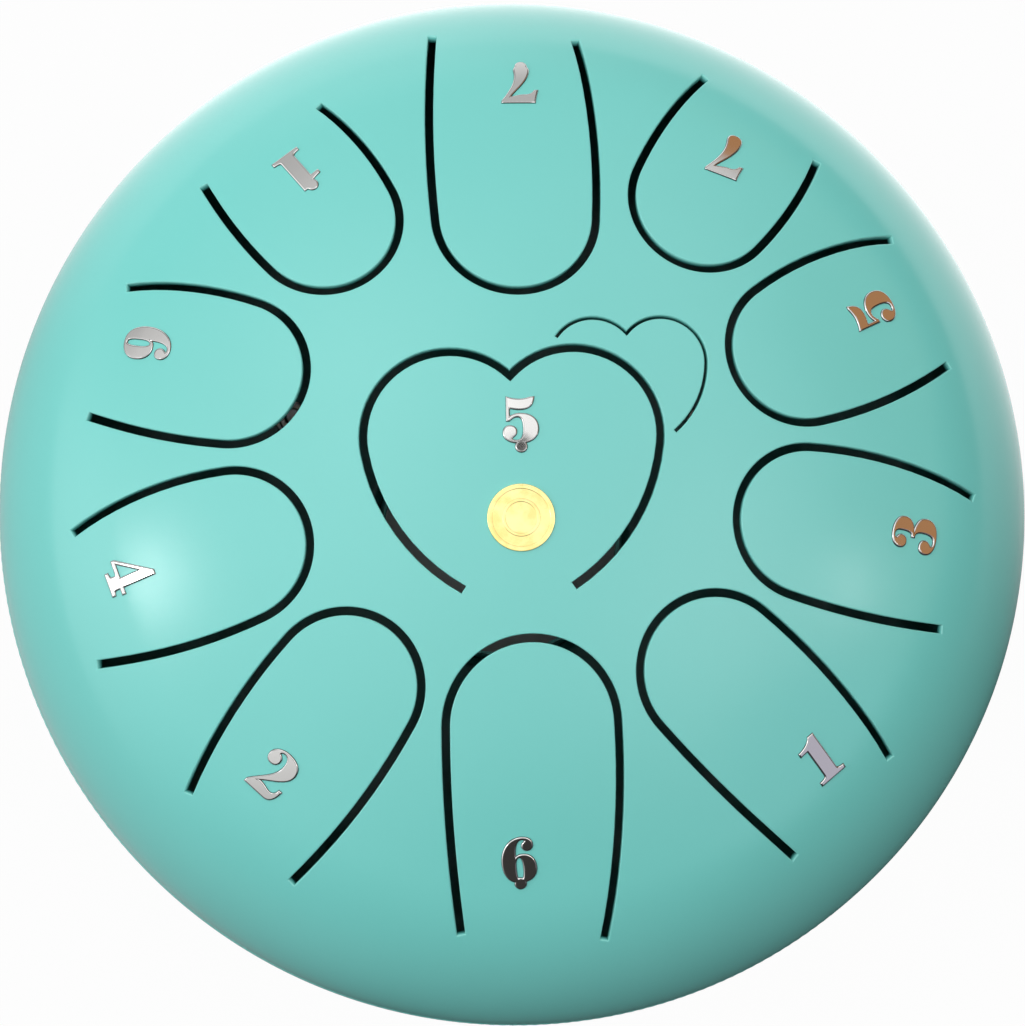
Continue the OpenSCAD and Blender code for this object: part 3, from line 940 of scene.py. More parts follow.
@dataclass
class Numerals:
    """The stuck-on numerals, cut from thin plate with a rounded rim and laid on the crown."""

    crown: Crown
    height: float = 12 * MM
    thickness: float = 0.4 * MM
    growth: float = 0.2 * MM
    rim: float = 0.42 * MM
    rim_steps: int = 3
    crease: float = 50
    middle: Vector = field(default_factory=lambda: Vector((0.36, 0.5)))
    widths: tuple[float, ...] = (1, 1.02, 1.035, 0.94, 1, 0.925, 1.035)
    dotted_h_share: float = 0.917
    dot_d_share: float = 0.22
    dot_sides: int = 40
    curve_step: float = 0.36 * MM
    slice_w: float = 1.3 * MM
    plans: tuple[NumeralPlan, ...] = (
        NumeralPlan("low_5", 5, (0.02, -0.53), 105.2, 0.119, 0.8),
        NumeralPlan("low_6", 6, (0, -0.48), -91.6, 0.835, 7),
        NumeralPlan("low_7", 7, (-0.06, -0.44), 91.3, 0.905, 181),
        NumeralPlan("1", 1, None, -42.8, 0.884, 40),
        NumeralPlan("2", 2, None, -130.7, 0.855, -42),
        NumeralPlan("3", 3, None, -7.1, 0.866, 79.5),
        NumeralPlan("4", 4, None, -166.8, 0.902, -69),
        NumeralPlan("5", 5, None, 27.2, 0.867, 117.5),
        NumeralPlan("6", 6, None, 160.1, 0.896, -100.5),
        NumeralPlan("7", 7, None, 59.1, 0.87, 161.5),
        NumeralPlan("high_1", 1, (-0.08, 0.45), 126.8, 0.864, -142),
    )
    digits: tuple[tuple[tuple[tuple[float, ...], ...], ...], ...] = (
        (
         ((0.02, 0), (0.62, 0), (0.62, 0.07), (0.52, 0.08, 0.47, 0.09, 0.47, 0.15), (0.47, 1),
          (0.35, 1), (0.28, 0.9, 0.16, 0.86, 0, 0.84), (0, 0.77), (0.18, 0.78), (0.18, 0.15),
          (0.18, 0.09, 0.12, 0.08, 0.02, 0.07)),),
        (
         ((0.02, 0), (0.02, 0.06), (0.14, 0.26, 0.42, 0.46, 0.42, 0.74),
          (0.42, 0.88, 0.36, 0.95, 0.28, 0.95), (0.24, 0.95, 0.2, 0.93, 0.2, 0.9),
          (0.2, 0.87, 0.3, 0.86, 0.3, 0.76), (0.3, 0.68, 0.24, 0.63, 0.16, 0.63),
          (0.08, 0.63, 0.03, 0.69, 0.03, 0.77), (0.03, 0.9, 0.16, 1, 0.34, 1),
          (0.56, 1, 0.7, 0.9, 0.7, 0.73), (0.7, 0.5, 0.4, 0.38, 0.2, 0.2),
          (0.32, 0.24, 0.42, 0.16, 0.52, 0.16), (0.6, 0.16, 0.64, 0.22, 0.65, 0.31), (0.71, 0.31),
          (0.7, 0.12, 0.64, 0, 0.5, 0)),),
        (
         ((0.3, 0.5), (0.4, 0.5, 0.43, 0.42, 0.43, 0.28), (0.43, 0.12, 0.38, 0.05, 0.28, 0.05),
          (0.24, 0.05, 0.2, 0.07, 0.2, 0.1), (0.2, 0.13, 0.29, 0.15, 0.29, 0.24),
          (0.29, 0.32, 0.23, 0.36, 0.16, 0.36), (0.08, 0.36, 0.03, 0.31, 0.03, 0.22),
          (0.03, 0.08, 0.16, 0, 0.35, 0), (0.58, 0, 0.71, 0.1, 0.71, 0.27),
          (0.71, 0.42, 0.6, 0.51, 0.42, 0.53), (0.58, 0.56, 0.66, 0.64, 0.66, 0.76),
          (0.66, 0.91, 0.54, 1, 0.34, 1), (0.16, 1, 0.06, 0.92, 0.06, 0.8),
          (0.06, 0.72, 0.11, 0.67, 0.18, 0.67), (0.25, 0.67, 0.3, 0.72, 0.3, 0.79),
          (0.3, 0.87, 0.22, 0.88, 0.22, 0.91), (0.22, 0.94, 0.26, 0.95, 0.29, 0.95),
          (0.37, 0.95, 0.4, 0.88, 0.4, 0.76), (0.4, 0.62, 0.38, 0.56, 0.3, 0.56)),),
        (
         ((0.2, 0), (0.7, 0), (0.7, 0.06), (0.63, 0.07, 0.6, 0.08, 0.6, 0.13), (0.6, 0.22),
          (0.74, 0.22), (0.74, 0.28), (0.6, 0.28), (0.6, 1), (0.51, 1), (0, 0.28), (0, 0.22),
          (0.32, 0.22), (0.32, 0.13), (0.32, 0.08, 0.28, 0.07, 0.2, 0.06)),
         ((0.4, 0.28), (0.4, 0.745), (0.07, 0.28))),
        (
         ((0.1, 0.48), (0.15, 0.48), (0.2, 0.54, 0.26, 0.57, 0.31, 0.57),
          (0.41, 0.57, 0.43, 0.47, 0.43, 0.3), (0.43, 0.12, 0.38, 0.05, 0.28, 0.05),
          (0.24, 0.05, 0.2, 0.07, 0.2, 0.1), (0.2, 0.13, 0.29, 0.15, 0.29, 0.25),
          (0.29, 0.33, 0.23, 0.37, 0.16, 0.37), (0.08, 0.37, 0.03, 0.31, 0.03, 0.22),
          (0.03, 0.08, 0.16, 0, 0.35, 0), (0.58, 0, 0.72, 0.12, 0.72, 0.32),
          (0.72, 0.52, 0.58, 0.64, 0.38, 0.64), (0.28, 0.64, 0.2, 0.61, 0.15, 0.56), (0.15, 0.76),
          (0.24, 0.74, 0.3, 0.73, 0.36, 0.73), (0.54, 0.73, 0.62, 0.82, 0.64, 1), (0.58, 1),
          (0.48, 0.96, 0.4, 0.95, 0.34, 0.95), (0.26, 0.95, 0.18, 0.97, 0.1, 1)),),
        (
         ((0.6, 0, 0.73, 0.12, 0.73, 0.31), (0.73, 0.5, 0.62, 0.62, 0.45, 0.62),
          (0.38, 0.62, 0.33, 0.6, 0.3, 0.56), (0.3, 0.82, 0.36, 0.95, 0.47, 0.95),
          (0.51, 0.95, 0.54, 0.94, 0.54, 0.92), (0.54, 0.9, 0.46, 0.88, 0.46, 0.8),
          (0.46, 0.74, 0.51, 0.7, 0.57, 0.7), (0.64, 0.7, 0.69, 0.75, 0.69, 0.82),
          (0.69, 0.93, 0.59, 1, 0.45, 1), (0.18, 1, 0.01, 0.76, 0.01, 0.46),
          (0.01, 0.18, 0.14, 0, 0.37, 0)),
         ((0.31, 0.05, 0.29, 0.14, 0.29, 0.3), (0.29, 0.47, 0.31, 0.56, 0.38, 0.56),
          (0.44, 0.56, 0.46, 0.47, 0.46, 0.31), (0.46, 0.14, 0.44, 0.05, 0.38, 0.05))),
        (
         ((0.06, 1), (0.05, 0.9, 0.03, 0.8, 0, 0.68), (0.06, 0.68),
          (0.1, 0.76, 0.16, 0.8, 0.26, 0.8), (0.36, 0.8, 0.44, 0.84, 0.54, 0.86),
          (0.46, 0.68, 0.18, 0.46, 0.16, 0.14),
          (0.16, 0.02, 0.26, 0, 0.31, 0), (0.4, 0, 0.45, 0.06, 0.44, 0.16),
          (0.4, 0.46, 0.52, 0.66, 0.7, 0.96), (0.7, 1)),),
    )

    def outline(self, steps: Sequence[tuple[float, ...]], wider: float,
                higher: float) -> list[Vector]:
        """Points of one outline of a digit.

        Args:
            steps: Lines to a point, or curves through two handles to their end, in shares of the
                height.
            wider: How much wider the digit is drawn.
            higher: How much higher it is drawn.

        Returns:
            The closed outline, at full size round the middle of the digit.
        """
        def sized(x: float, y: float) -> Vector:
            """A point at full size."""
            place = (Vector((x, y)) - self.middle) * self.height
            return Vector((place.x * wider, place.y * higher))

        points: list[Vector] = []
        start = sized(*steps[-1][-2:])
        for step in steps:
            end = sized(*step[-2:])
            if len(step) == 2:
                points.append(end)
            else:
                one, two = sized(*step[:2]), sized(*step[2:4])
                length = (one - start).length + (two - one).length + (end - two).length
                count = max(2, round(length / self.curve_step))
                for i in range(1, count + 1):
                    t = i / count
                    points.append((1 - t) ** 3 * start + 3 * (1 - t) ** 2 * t * one
                                  + 3 * (1 - t) * t * t * two + t ** 3 * end)
            start = end
        return points

    def flat(self, plan: NumeralPlan) -> Workpiece:
        """A numeral as a flat plate, joined with its octave dot.

        Args:
            plan: What the numeral shows.

        Returns:
            The plate, upright round the middle of the digit.
        """
        name = f"numeral_{plan.name}_plate"
        wider, higher = self.widths[plan.digit - 1], self.dotted_h_share if plan.dot else 1
        outlines = [self.outline(steps, wider, higher) for steps in self.digits[plan.digit - 1]]
        edge = (self.thickness, self.rim, self.rim_steps, self.growth)
        piece = Workpiece.plate(name, outlines, *edge)
        if plan.dot:
            middle, radius = self.height * Vector(plan.dot), self.height * self.dot_d_share / 2
            dot = [middle + radius * ray(360 * i / self.dot_sides) for i in range(self.dot_sides)]
            piece.cut(Workpiece.plate("dot", [dot], *edge), Cut.ONTO)
        return piece

    def build(self, finish: bpy.types.Material) -> None:
        """Makes every numeral.

        Args:
            finish: Finish of the numerals.
        """
        for plan in self.plans:
            piece = self.flat(plan).sliced(self.slice_w)
            lift = piece.places()[:, 2]
            piece.scored("lift", lift)
            self.crown.drape(piece, plan.bearing, self.crown.root_r * plan.reach, plan.turn)
            piece.smoothed(self.crease)
            self.crown.eased(piece, lift > self.thickness - 10 * NEAR)
            node = f"numeral_{plan.name}"
            piece.finished(f"tongue_{plan.name}", "numeral_nickel", [node], finish)


@dataclass
class Badge:
    """The round gold badge under the middle numeral, with a raised rim and one raised ring."""

    crown: Crown
    radius: float = 8 * MM
    rim_w: float = 1.2 * MM
    ring_r: float = 4.5 * MM
    ring_w: float = 0.8 * MM
    plate_t: float = 0.25 * MM
    top_t: float = 0.4 * MM
    edge: float = 0.1 * MM
    shoulder: tuple[Point, ...] = ((0, 0), (0.15, 0.6), (0.6, 0.9), (1.5, 1))
    face_steps: int = 4
    gap_steps: int = 3
    sides: int = 96
    crease: float = 40
    place: Vector = field(default_factory=lambda: Vector((-3.078 * MM, -10.8 * MM)))

    def raised(self, inner: float, outer: float) -> list[Point]:
        """Section of a raised ring with rounded shoulders, without its last point."""
        rise = self.top_t - self.plate_t
        steps = [(run * self.edge, self.plate_t + share * rise) for run, share in self.shoulder]
        rising = [(inner + run, z) for run, z in steps]
        return rising + [(outer - run, z) for run, z in steps[:0:-1]]

    def build(self, finish: bpy.types.Material) -> None:
        """Makes the badge.

        Args:
            finish: Finish of the badge.
        """
        inner = self.ring_r - self.ring_w
        section = [(inner * i / self.face_steps, self.plate_t) for i in range(self.face_steps)]
        section += self.raised(inner, self.ring_r)
        between = (self.radius - self.rim_w - self.ring_r) / self.gap_steps
        section += [(self.ring_r + between * i, self.plate_t) for i in range(self.gap_steps)]
        section += self.raised(self.radius - self.rim_w, self.radius)
        section += [(self.radius, self.plate_t), (self.radius, 0), (self.ring_r, 0), (0, 0)]
        piece = lathe("gold_badge_disc", section, self.sides)
        bearing = math.degrees(math.atan2(self.place.y, self.place.x))
        self.crown.drape(piece, bearing, self.place.length, 0)
        piece.smoothed(self.crease)
        piece.finished("tongue_low_5", "badge_gold", ["gold_badge"], finish)


@dataclass(frozen=True)
class FootPlan:
    """Where the feet stand, with bearings in degrees, and the bore that their screws pass."""

    circle_r: float = 62 * MM
    bearings: tuple[float, ...] = (-90, 150, 30)
    bore_r: float = 2.15 * MM


@dataclass
class LowerShell(Shell):
    """The pan: a flat bottom with a rolled sound hole, a rounded wall and a joggled lip."""

    pan_z: float = 13 * MM
    bowl_r: float = 50 * MM
    port_r: float = 30 * MM
    port_bend_r: float = 5 * MM
    port_top_z: float = 21 * MM
    lip_top_z: float = 71.6 * MM
    feet: FootPlan = FootPlan()
    bend_steps: int = 8
    bowl_steps: int = 40
    flat_steps: int = 4
    bore_sides: int = 32

    def build(self, finish: bpy.types.Material) -> None:
        """Makes the pan.

        Args:
            finish: Finish of the sheet.
        """
        bowl = Vector((self.drum_r - self.bowl_r, self.pan_z + self.bowl_r))
        roll = Vector((self.port_r + self.port_bend_r, self.pan_z + self.port_bend_r))
        half_t = self.sheet_t / 2
        neck_top = Vector((self.port_r + half_t, self.port_top_z - half_t))
        part = (bowl.x - roll.x) / self.flat_steps
        flat = [(roll.x + part * i, self.pan_z) for i in range(1, self.flat_steps)]
        outside = arc(neck_top, half_t, 0, 180, self.bend_steps)
        outside += arc(roll, self.port_bend_r, 180, 270, self.bend_steps) + flat
        outside += arc(bowl, self.bowl_r, -90, 0, self.bowl_steps) + [(self.drum_r, self.joggle_z)]
        lip_in = self.lip_r - self.sheet_t
        inside = [(self.lip_r, self.joggle_z), (self.lip_r, self.lip_top_z),
                  (lip_in, self.lip_top_z), (lip_in, self.joggle_z),
                  (self.drum_r - self.sheet_t, self.joggle_z - self.sheet_t)]
        inside += arc(bowl, self.bowl_r - self.sheet_t, 0, -90, self.bowl_steps)
        inside += [(r, z + self.sheet_t) for r, z in flat[::-1]]
        inside += arc(roll, self.port_bend_r - self.sheet_t, 270, 180, self.bend_steps)
        piece = lathe("lower_shell_pan", outside + inside, self.sides, ring=True)
        for bearing in self.feet.bearings:
            place = self.feet.circle_r * ray(bearing)
            piece.cut(Workpiece.added("bore", bpy.ops.mesh.primitive_cylinder_add,
                                      vertices=self.bore_sides, radius=self.feet.bore_r,
                                      depth=8 * self.sheet_t, location=(*place, self.pan_z)))
        places = piece.places()
        radius, _ = polar(places)
        wall = np.hypot(np.maximum(radius - bowl.x, 0), np.minimum(places[:, 2] - bowl.y, 0))
        rolled = np.hypot(roll.x - radius, np.minimum(places[:, 2] - roll.y, 0))
        sunk = np.where(radius < roll.x, rolled < self.port_bend_r - half_t,
                        wall < self.bowl_r - half_t)
        # Inner points are scored as deep, which gives them the coat's painted shade.
        piece.scored("depth", np.where(sunk, self.sheet_t, 0)).smoothed(self.crease)
        piece.finished(BODY, "shell_paint", ["lower_shell"], finish)


@dataclass
class SeamWeld(Shell):
    """The painted weld bead round the waist, rippled by the torch's steps."""

    width: float = 1.6 * MM
    crown_h: float = 0.24 * MM
    crown_steps: int = 8
    ripples: int = 300
    ripple_steps: int = 6
    ripple_share: float = 0.3
    ripple_trail: float = 1.6
    crease: float = 60

    def build(self, finish: bpy.types.Material) -> None:
        """Makes the bead.

        Args:
            finish: Finish of the bead.
        """
        radius = (self.width ** 2 / 4 + self.crown_h ** 2) / (2 * self.crown_h)
        middle = self.joggle_z + self.width / 2
        spread = math.degrees(math.asin(self.width / 2 / radius))
        centre = Vector((self.drum_r + self.crown_h - radius, middle))
        section = arc(centre, radius, -spread, spread, self.crown_steps)
        section += [(self.lip_r, self.joggle_z + self.width), (self.lip_r, self.joggle_z)]
        piece = lathe("seam_weld_bead", section, self.ripples * self.ripple_steps, ring=True)

        def rippled(points: np.ndarray) -> np.ndarray:
            """The bead's points, dipped between the torch's steps, which trail at both edges."""
            reach, _ = polar(points)
            turn = np.arctan2(points[:, 1], points[:, 0])
            trail = self.ripple_trail * ((points[:, 2] - middle) / self.width * 2) ** 2
            wave = 0.5 - 0.5 * np.cos(self.ripples * turn + trail)
            proud = np.maximum(reach - self.drum_r, 0)
            return narrowed(points, 1 - proud * self.ripple_share * wave / reach)

        piece.moved(rippled).smoothed(self.crease)
        piece.finished(BODY, "weld_paint", ["seam_weld"], finish)


@dataclass
class Feet:
    """Three rubber feet with their screws, washers and nuts."""

    plan: FootPlan = FootPlan()
    names: tuple[str, ...] = ("foot_front", "foot_rear_left", "foot_rear_right")
    height: float = 13 * MM
    radius: float = 12 * MM
    top_radius: float = 11 * MM
    edge_r: float = 1.5 * MM
    edge_steps: int = 8
    bevel: float = 0.5 * MM
    bevel_steps: int = 4
    draft: float = 5
    sink_r: float = 4.3 * MM
    sink_h: float = 5.2 * MM
    sides: int = 96
    crease: float = 40
    head_z: float = 2.6 * MM
    head_r: float = 4 * MM
    head_edge_r: float = 1.2 * MM
    head_edge_from: float = -75
    head_steps: int = 6
    head_edge_h: float = 0.04 * MM
    head_dish_h: float = 0.08 * MM
    screw_r: float = 2 * MM
    screw_top_z: float = 20.4 * MM
    screw_point: float = 0.4 * MM
    screw_sides: int = 48
    thread_pitch: float = 0.7 * MM
    thread_steps: int = 4
    thread_h: float = 0.22 * MM
    thread_from_z: float = 9 * MM
    recess_w: float = 1 * MM
    recess_l: float = 4.4 * MM
    recess_h: float = 1.4 * MM
    recess_taper: float = 0.6
    washer_z: float = 14.8 * MM
    washer_r: float = 4.5 * MM
    washer_t: float = 0.8 * MM
    washer_edge: float = 0.12 * MM
    washer_sides: int = 64
    nut_z: float = 15.6 * MM
    nut_flats: float = 7 * MM
    nut_h: float = 3.2 * MM
    nut_bore_r: float = 2.05 * MM
    nut_mouth: float = 0.25 * MM
    nut_slant: float = 30
    nut_face_in: float = 0.05 * MM
    nut_past: float = 0.2 * MM
    metal_crease: float = 30

    def at(self, bearing: float) -> Matrix:
        """Place of the foot at a bearing."""
        turn = Matrix.Rotation(math.radians(bearing), 4, "Z")
        return turn @ Matrix.Translation((self.plan.circle_r, 0, 0))

    def foot(self) -> Workpiece:
        """One rubber foot on the Z axis."""
        bore_r, bevel = self.plan.bore_r, self.bevel
        low = Vector((self.radius - self.edge_r, self.edge_r))
        high = Vector((self.top_radius - bevel, self.height - bevel))
        section = [(self.sink_r, bevel), (self.sink_r + bevel, 0)]
        section += arc(low, self.edge_r, -90, 0, self.edge_steps)
        section += arc(high, bevel, self.draft, 90, self.bevel_steps)
        section += [(bore_r, self.height), (bore_r, self.sink_h), (self.sink_r, self.sink_h)]
        return lathe("foot", section, self.sides, ring=True)

    def threaded(self, points: np.ndarray) -> np.ndarray:
        """Cuts the thread into the points of the screw's shank.

        Args:
            points: Points of the whole screw, as rows.

        Returns:
            Their new places.
        """
        reach, _ = polar(points)
        turn = np.arctan2(points[:, 1], points[:, 0]) / math.tau
        wave = np.abs(2 * ((points[:, 2] / self.thread_pitch - turn) % 1) - 1)
        on_shank = np.abs(reach - self.screw_r) < 10 * NEAR
        on_shank &= points[:, 2] > self.thread_from_z
        cut = self.thread_h * wave / np.maximum(reach, TINY)
        return narrowed(points, np.where(on_shank, 1 - cut, 1))

    def screw(self) -> Workpiece:
        """One pan-head screw on the Z axis, head down, with a cut thread."""
        neck_z = self.sink_h
        edge_z = self.head_z + self.head_edge_r + self.head_edge_h
        edge = Vector((self.head_r - self.head_edge_r, edge_z))
        section = [(0, self.head_z), (edge.x, self.head_z + self.head_dish_h)]
        section += arc(edge, self.head_edge_r, self.head_edge_from, 0, self.head_steps)
        section.append((self.head_r, neck_z))
        length = self.screw_top_z - neck_z
        rows = round(length / (self.thread_pitch / self.thread_steps))
        section += [(self.screw_r, neck_z + length / rows * i) for i in range(rows)]
        section += [(self.screw_r - self.screw_point, self.screw_top_z), (0, self.screw_top_z)]
        piece = lathe("screw", section, self.screw_sides).moved(self.threaded)
        for turn in (0, math.pi / 2):
            slot = Workpiece.added("recess", bpy.ops.mesh.primitive_cube_add, size=1,
                                   rotation=(0, 0, turn), location=(0, 0, self.head_z),
                                   scale=(self.recess_l, self.recess_w, 2 * self.recess_h))
            slot.pick(Pick.FACES, lambda face: face.normal.z > 0.5)
            bpy.ops.transform.resize(value=(self.recess_taper, self.recess_taper, 1),
                                     center_override=(0, 0, self.head_z + self.recess_h))
            piece.cut(slot.close())
        return piece

    def washer(self) -> Workpiece:
        """One washer on the Z axis."""
        low, edge = self.washer_z, self.washer_edge
        top = low + self.washer_t
        inner, outer = self.plan.bore_r, self.washer_r
        section = [(inner, low), (outer - edge, low), (outer, low + edge), (outer, top - edge),
                   (outer - edge, top), (inner + edge, top), (inner, top - edge)]
        return lathe("washer", section, self.washer_sides, ring=True)

    def nut(self) -> Workpiece:
        """One hexagon nut on the Z axis, with its corners turned off."""
        low, top = self.nut_z, self.nut_z + self.nut_h
        corner_r = self.nut_flats / 2 / math.cos(math.radians(30))
        piece = Workpiece.added("nut", bpy.ops.mesh.primitive_cylinder_add, vertices=6,
                                radius=corner_r, depth=self.nut_h, location=(0, 0, (low + top) / 2))
        bpy.ops.object.transform_apply()
        face_r, outer = self.nut_flats / 2 - self.nut_face_in, corner_r + self.nut_past
        rise = (outer - face_r) * math.tan(math.radians(self.nut_slant))
        lens = lathe("lens", [(0, low), (face_r, low), (outer, low + rise), (outer, top - rise),
                              (face_r, top), (0, top)], self.sides)
        piece.cut(lens, Cut.TRIM)
        inner, mouth = self.nut_bore_r, self.nut_mouth
        bore = lathe("bore", [(0, low - mouth), (inner + 2 * mouth, low - mouth),
                              (inner, low + mouth), (inner, top - mouth),
                              (inner + 2 * mouth, top + mouth), (0, top + mouth)], self.screw_sides)
        return piece.cut(bore)

    def build(self, rubber: bpy.types.Material, zinc: bpy.types.Material) -> None:
        """Makes the feet and their fasteners.

        Args:
            rubber: Finish of the feet.
            zinc: Finish of the fasteners.
        """
        foot = self.foot()
        for name, bearing in zip(self.names, self.plan.bearings):
            copy = foot.copied(f"{name}_rubber", self.at(bearing)).smoothed(self.crease)
            copy.finished(BODY, "foot_rubber", [name], rubber)
        bpy.data.objects.remove(foot.obj)
        for node, slot, made in (("foot_screws", "screw_zinc", self.screw()),
                                 ("foot_washers", "washer_zinc", self.washer()),
                                 ("foot_nuts", "nut_zinc", self.nut())):
            copies = [made.copied(f"{node}_turned", self.at(bearing))
                      for bearing in self.plan.bearings]
            bpy.data.objects.remove(made.obj)
            whole = copies[0].joined(copies[1:])
            whole.obj.name = f"{node}_turned"
            whole.smoothed(self.metal_crease).finished(BODY, slot, [node], zinc)


class Wire:
    """A shader socket that adds its Math nodes when it is used in an expression."""

    def __init__(self, recipe: "Recipe", socket: bpy.types.NodeSocket) -> None:
        """Wraps an output socket of a recipe's node tree."""
        self.recipe = recipe
        self.socket = socket

    def _math(self, operation: str, *values: Any) -> "Wire":
        """Adds a Math node."""
        inputs = dict(enumerate(values))
        return self.recipe.node("ShaderNodeMath", {"operation": operation}, inputs)[0]

    def __add__(self, other: Any) -> "Wire":
        """Sum of two values."""
        return self._math("ADD", self, other)

    def __radd__(self, other: Any) -> "Wire":
        """Sum with the number first."""
        return self._math("ADD", other, self)

    def __sub__(self, other: Any) -> "Wire":
        """Difference of two values."""
        return self._math("SUBTRACT", self, other)

    def __rsub__(self, other: Any) -> "Wire":
        """Difference with the number first."""
        return self._math("SUBTRACT", other, self)

    def __mul__(self, other: Any) -> "Wire":
        """Product of two values."""
        return self._math("MULTIPLY", self, other)

    def __rmul__(self, other: Any) -> "Wire":
        """Product with the number first."""
        return self._math("MULTIPLY", other, self)

    def __truediv__(self, other: Any) -> "Wire":
        """Quotient of two values."""
        return self._math("DIVIDE", self, other)

    def __rtruediv__(self, other: Any) -> "Wire":
        """Quotient with the number first."""
        return self._math("DIVIDE", other, self)

    def __pow__(self, other: Any) -> "Wire":
        """Power of a value."""
        return self._math("POWER", self, other)

    def __rpow__(self, other: Any) -> "Wire":
        """Power of a number, with the value as exponent."""
        return self._math("POWER", other, self)

    def most(self, other: Any) -> "Wire":
        """The larger of two values."""
        return self._math("MAXIMUM", self, other)

    def dot(self, way: Vector) -> "Wire":
        """Dot product with a fixed direction."""
        values = {0: self, 1: tuple(way)}
        return self.recipe.node("ShaderNodeVectorMath", {"operation": "DOT_PRODUCT"}, values)[-1]

    def rise(self, start: float, end: float) -> "Wire":
        """A smooth step from 0 at start to 1 at end."""
        return self.recipe.node("ShaderNodeMapRange", {"interpolation_type": "SMOOTHSTEP"},
                                {"Value": self, "From Min": start, "From Max": end})[0]


class Recipe:
    """The node tree of one material or of the world."""

    def __init__(self, owner: Any) -> None:
        """Empties the tree of a material or a world.

        Args:
            owner: The material or the world.
        """
        self.owner = owner
        owner.use_nodes = True
        self.tree = owner.node_tree
        self.tree.nodes.clear()

    def node(self, kind: str, settings: dict[str, Any], values: dict[Any, Any]) -> list[Wire]:
        """Adds a node.

        Args:
            kind: Its type.
            settings: Its own properties, which are set first.
            values: Numbers, colours or wires for its sockets, by name or by number.

        Returns:
            Its output sockets.
        """
        node = self.tree.nodes.new(kind)
        for key, value in settings.items():
            setattr(node, key, value)
        for key, value in values.items():
            if isinstance(value, Wire):
                self.tree.links.new(value.socket, node.inputs[key])
            else:
                node.inputs[key].default_value = value
        return [Wire(self, output) for output in node.outputs if output.enabled]

    def output(self, kind: str, name: str, **settings: Any) -> Wire:
        """One output, by its name, of a new node that reads nothing."""
        return next(wire for wire in self.node(kind, settings, {}) if wire.socket.name == name)

    def place(self) -> Wire:
        """The place on the object, in metres."""
        return self.output("ShaderNodeTexCoord", "Object")

    def score(self, name: str) -> Wire:
        """The number that a piece was scored with."""
        return self.output("ShaderNodeAttribute", "Fac", attribute_name=name)

    def seen(self, *kinds: str) -> Wire:
        """Whether the light path is of one of these kinds."""
        return sum(self.output("ShaderNodeLightPath", f"Is {kind} Ray") for kind in kinds)

    def noise(self, size: float, detail: float) -> Wire:
        """Noise whose blobs are about as large as a size in metres."""
        values = {"Vector": self.place(), "Scale": 1 / size, "Detail": detail}
        return self.node("ShaderNodeTexNoise", {}, values)[0]

    def mixed(self, factor: Wire, first: Any, second: Any) -> Wire:
        """A colour between two colours."""
        values = {0: factor, 6: first, 7: second}
        return self.node("ShaderNodeMix", {"data_type": "RGBA"}, values)[0]

    def grey(self, tone: Wire) -> Wire:
        """The grey of a strength."""
        return self.node("ShaderNodeCombineXYZ", {}, {0: tone, 1: tone, 2: tone})[0]

    def bump(self, height: Wire, distance: float) -> Wire:
        """A normal bent by a height in metres."""
        return self.node("ShaderNodeBump", {}, {"Height": height, "Distance": distance})[0]

    def surface(self, values: dict[str, Any]) -> bpy.types.Material:
        """Ends the tree in a Principled shader with these socket values."""
        shader = self.node("ShaderNodeBsdfPrincipled", {}, values)[0]
        self.node("ShaderNodeOutputMaterial", {}, {"Surface": shader})
        return self.owner


def colour(code: str) -> tuple[float, ...]:
    """Linear colour of an sRGB hex code."""
    parts = [int(code[i:i + 2], 16) / 255 for i in (0, 2, 4)]
    return (*[p / 12.92 if p <= 0.04045 else ((p + 0.055) / 1.055) ** 2.4 for p in parts], 1)


@dataclass(frozen=True)
class PowderCoat:
    """Satin turquoise powder coat with orange peel, painted highlights on the slot rims and painted
    shade inside.
    """

    base: str = "76D0C8"
    cloud: str = "7AD4CD"
    cloud_size: float = 40 * MM
    # Painted highlight: a paler band along the slot rims, where the rounded paint catches light.
    edge: str = "A4E8E0"
    highlight_rise: Point = (0.02 * MM, 0.2 * MM)
    highlight_fall: Point = (0.35 * MM, 0.6 * MM)
    highlight_share: float = 0.45
    # Painted shade: a darker teal down the slot walls and on the inner face.
    inside: str = "2C6E6A"
    inside_shade_rise: Point = (0.5 * MM, 1.8 * MM)
    gloss: float = 0.17
    haze: float = 0.06
    haze_size: float = 6 * MM
    peel: float = 1.3 * MM
    peel_height: float = 0.014 * MM

    def material(self) -> bpy.types.Material:
        """Builds the coat, which reads how deep each point lies below the outer face."""
        recipe = Recipe(bpy.data.materials.new("powder_coat"))
        depth = recipe.score("depth")
        clouds = recipe.noise(self.cloud_size, detail=3)
        coat = recipe.mixed(clouds, colour(self.base), colour(self.cloud))
        # Painted highlight just inside each slot rim.
        rim = depth.rise(*self.highlight_rise) * (1 - depth.rise(*self.highlight_fall))
        coat = recipe.mixed(rim * self.highlight_share, coat, colour(self.edge))
        # Painted shade, deepening down the slot walls to the inner face.
        coat = recipe.mixed(depth.rise(*self.inside_shade_rise), coat, colour(self.inside))
        return recipe.surface({
            "Base Color": coat,
            "Roughness": self.gloss + self.haze * recipe.noise(self.haze_size, detail=2),
            "Normal": recipe.bump(recipe.noise(self.peel, detail=2), self.peel_height),
        })


